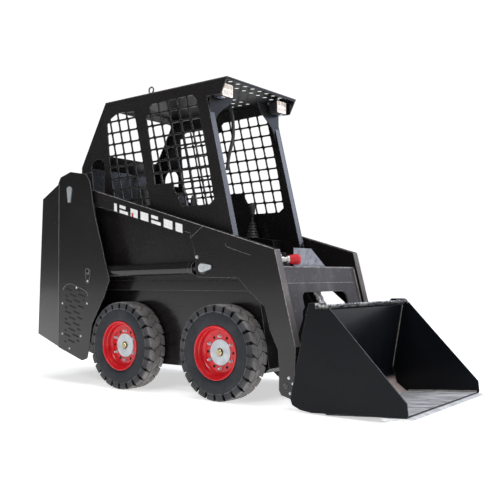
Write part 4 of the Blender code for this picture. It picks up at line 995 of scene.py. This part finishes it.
ribs.append(slab(corner_arcs(head, 0.015), "Y", -0.160, 0.160, 0.006))
build("engine_ribs", "chassis", CAST, total(ribs))
pulley = [(0.030, 0.0)]
for groove in (0.0, 0.006, 0.012, 0.018):
    pulley += [(0.060, groove), (0.060, groove + 0.0015), (0.053, groove + 0.0035), (0.060, groove + 0.0055)]
pulley += [(0.060, 0.026), (0.044, 0.026), (0.040, 0.014), (0.018, 0.014), (0.018, 0.028), (0.010, 0.030)]
pulleys = [turned(pulley, (back - 0.001, y, (foot + top) / 2 + up), (-1, 0, 0), 40)
           for y, up in ((0.0, -0.10), (0.130, 0.12))]
build("engine_pulleys", "chassis", ZINC, total(pulleys))
cartridge = turned([(0.038, 0.0), (0.043, 0.006), (0.043, 0.092), (0.036, 0.104), (0.012, 0.106)],
                   (back - 0.040, -0.185, foot + 0.250), (0, 0, -1), 32)
canister = turned([(0.050, 0.0), (0.062, 0.006), (0.062, 0.040), (0.058, 0.046), (0.058, 0.200),
                   (0.064, 0.206), (0.064, 0.220), (0.030, 0.236), (0.026, 0.260)],
                  (back + 0.020, -0.140, top + 0.135), (0, 1, 0), 40)
build("engine_filters", "chassis", HOUSING, cartridge + canister)


# ---------------------------------------------------------------- seat
PAD_MARGIN = 0.010            # how much smaller than the solid a pad starts
PAD_SWELL = 0.013             # the farthest that pressure may move a point
PAD_VOXEL = 0.009             # spacing of the pad's points
CHANNEL_DEPTH, CHANNEL_WIDTH = 0.010, 0.008


def remade(piece):
    """The piece's mesh with its modifiers worked in; the modifiers are then dropped."""
    graph = bpy.context.evaluated_depsgraph_get()
    mesh = bpy.data.meshes.new_from_object(piece.evaluated_get(graph))
    piece.modifiers.clear()
    old, piece.data = piece.data, mesh
    bpy.data.meshes.remove(old)
    return mesh


def coordinates(mesh):
    """The places of a mesh's points as an array."""
    points = np.empty(3 * len(mesh.vertices), np.float32)
    mesh.vertices.foreach_get("co", points)
    return points.reshape(-1, 3).astype(float)


def pad(node, name, channel, spacing):
    """A filled pad: a smaller copy of the CAD solid, remeshed evenly, swollen by pressure as cloth with its
    movement capped, then quilted: channels across a direction, depth exp(-(distance / width) squared)."""
    piece = bpy.data.objects.new(name, NODES[node].data.copy())
    bpy.context.collection.objects.link(piece)
    mesh = piece.data
    mesh.materials.clear()
    work = bmesh.new()
    work.from_mesh(mesh)
    bmesh.ops.remove_doubles(work, verts=work.verts, dist=0.00002)
    work.to_mesh(mesh)
    work.free()
    low, high = (np.array(corner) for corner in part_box(node))
    middle, half = (low + high) / 2, (high - low) / 2
    points = middle + (coordinates(mesh) - middle) * (half - PAD_MARGIN) / half
    mesh.vertices.foreach_set("co", points.ravel())
    even = piece.modifiers.new("even_mesh", "REMESH")
    even.mode = "VOXEL"
    even.voxel_size = PAD_VOXEL
    mesh = remade(piece)
    rest = coordinates(mesh)
    cloth = piece.modifiers.new("filling", "CLOTH")
    cloth.settings.use_pressure = True
    cloth.settings.uniform_pressure_force = 4.0
    cloth.settings.effector_weights.gravity = 0.0
    for step in range(1, 21):
        bpy.context.scene.frame_set(step)
    mesh = remade(piece)
    bpy.context.scene.frame_set(1)
    move = coordinates(mesh) - rest
    reach = np.linalg.norm(move, axis=1)
    rest = rest + move * np.minimum(1.0, PAD_SWELL / np.maximum(reach, 1e-6))[:, None]
    channel = np.asarray(channel, float) / np.linalg.norm(channel)
    along = (rest - middle) @ channel
    gap = abs((along / spacing + 0.5) % 1.0 - 0.5) * spacing
    sewn = np.exp(-(gap / CHANNEL_WIDTH) ** 2) * (abs(along) < spacing * 1.6)
    edge = np.clip((half[1] - 0.045 - abs(rest[:, 1] - middle[1])) / 0.012, 0, 1)
    outward = rest - middle
    outward -= np.outer(outward @ channel, channel)
    outward[:, 1] = 0
    outward /= np.maximum(np.linalg.norm(outward, axis=1), 1e-6)[:, None]
    rest = rest - outward * (CHANNEL_DEPTH * sewn * edge)[:, None]
    mesh.vertices.foreach_set("co", np.clip(rest, low + 0.0005, high - 0.0005).ravel())
    mesh.materials.clear()
    mesh.materials.append(VINYL)
    mesh.shade_smooth()
    finer = piece.modifiers.new("finer", "SUBSURF")
    finer.levels = finer.render_levels = 1
    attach(piece, "chassis")
    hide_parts(node)


pad("seat_cushion", "cushion_pad", (1, 0, 0), 0.120)
pad("seat_back", "back_pad", (-0.16, 0, 1), 0.130)


# ---------------------------------------------------------------- tilt cylinder pipes
PIN = np.array(JOINTS["tilt_barrel_swing"]["pos_m"])
ROD_EYE = np.array(at(0.518, 1, 0.0, 0.274))
LINE = (ROD_EYE - PIN) / np.linalg.norm(ROD_EYE - PIN)
ABOVE = np.array([-LINE[2], 0.0, LINE[0]])
PIPE_ABOVE, PIPE_APART = 0.046, 0.017


def tilt_point(along, off, y):
    """A point beside the tilt cylinder, by its distance from the upper pin, how far above and across."""
    return PIN + LINE * along + ABOVE * off + np.array([0.0, y, 0.0])


pipes = []
for y in (-PIPE_APART, PIPE_APART):
    route = ((0.060, 0.040), (0.110, PIPE_ABOVE), (0.190, PIPE_ABOVE), (0.250, 0.044), (0.290, 0.030))
    pipes.append(tube(smooth_path([tilt_point(along, off, y) for along, off in route], 40), 0.0085, 14))
    for along in (0.100, 0.135, 0.170, 0.205):
        pipes.append(turned([(0.012, -0.006), (0.012, 0.006), (0.0105, 0.008)],
                            tilt_point(along, PIPE_ABOVE, y), LINE, 16))
build("tilt_pipes", "tilt_barrel", WHITE_METAL, total(pipes))

# ---------------------------------------------------------------- camera, floor and light
camera_data = bpy.data.cameras.new("camera")
camera_data.lens = 52.34
camera = bpy.data.objects.new("camera", camera_data)
bpy.context.collection.objects.link(camera)
CAMERA_TURN, CAMERA_RISE, CAMERA_ROLL = 2.224, 0.0378, -0.0054
camera.location = (2.8502, -3.553, 0.6868)
gaze = Vector((cos(CAMERA_RISE) * cos(CAMERA_TURN), cos(CAMERA_RISE) * sin(CAMERA_TURN), sin(CAMERA_RISE)))
camera.rotation_mode = "QUATERNION"
camera.rotation_quaternion = gaze.to_track_quat("-Z", "Y") @ Quaternion((0, 0, 1), CAMERA_ROLL)
bpy.context.scene.camera = camera
bpy.context.scene.view_settings.view_transform = "Standard"


def soft_box(name, place, aim, size, power, colour=(1.0, 1.0, 1.0)):
    """A rectangular studio light at a place, turned to a point."""
    data = bpy.data.lights.new(name, "AREA")
    data.shape = "RECTANGLE"
    data.size, data.size_y = size
    data.energy = power
    data.color = colour
    lamp = bpy.data.objects.new(name, data)
    lamp.location = place
    lamp.rotation_mode = "QUATERNION"
    lamp.rotation_quaternion = (Vector(aim) - Vector(place)).to_track_quat("-Z", "Y")
    bpy.context.collection.objects.link(lamp)


soft_box("sky_light", (0.5, -0.5, 6.5), (0, 0, 0), (6.0, 4.0), 330.0, (0.95, 0.97, 1.0))
soft_box("front_light", (6.5, 1.5, 3.2), (0.4, 0, 0.7), (3.0, 3.0), 150.0, (0.90, 0.94, 1.0))
soft_box("side_light", (1.5, -7.0, 5.0), (0, 0, 0.5), (4.0, 1.2), 190.0, (1.0, 0.98, 0.95))
soft_box("blue_light", (2.6, 4.6, 3.6), (0, 0, 1.2), (2.4, 2.4), 70.0, (0.72, 0.80, 1.0))

world = bpy.data.worlds.new("studio")
bpy.context.scene.world = world
world.use_nodes = True
sky = world.node_tree.nodes["Background"]
sky.inputs["Color"].default_value = (0.90, 0.93, 1.0, 1.0)
sky.inputs["Strength"].default_value = 0.10
white = world.node_tree.nodes.new("ShaderNodeBackground")
white.inputs["Strength"].default_value = 1.3
blend = world.node_tree.nodes.new("ShaderNodeMixShader")
rays = world.node_tree.nodes.new("ShaderNodeLightPath")
world.node_tree.links.new(rays.outputs["Is Camera Ray"], blend.inputs["Fac"])
world.node_tree.links.new(sky.outputs[0], blend.inputs[1])
world.node_tree.links.new(white.outputs[0], blend.inputs[2])
world.node_tree.links.new(blend.outputs[0], world.node_tree.nodes["World Output"].inputs["Surface"])

FLOOR_HALF = 40.0
floor_mesh = bpy.data.meshes.new("studio_floor")
floor_mesh.from_pydata([(u * FLOOR_HALF, v * FLOOR_HALF, cad_box[0].z)
                        for u, v in ((-1, -1), (1, -1), (1, 1), (-1, 1))], [], [(0, 1, 2, 3)])
floor_recipe = Recipe("pale_floor", (0.90, 0.90, 0.90), 0.9, specular_ior_level=0.0, emission_strength=1.0)
away = (floor_recipe.x * floor_recipe.x + floor_recipe.y * floor_recipe.y) ** 0.5
glow = floor_recipe.mix(away.rise(1.2, 6.0), (0.58, 0.58, 0.58), (1.05, 1.05, 1.05))
floor_recipe.feed(emission_color=glow)
floor_mesh.materials.append(floor_recipe.material)
floor = bpy.data.objects.new("studio_floor", floor_mesh)
bpy.context.collection.objects.link(floor)
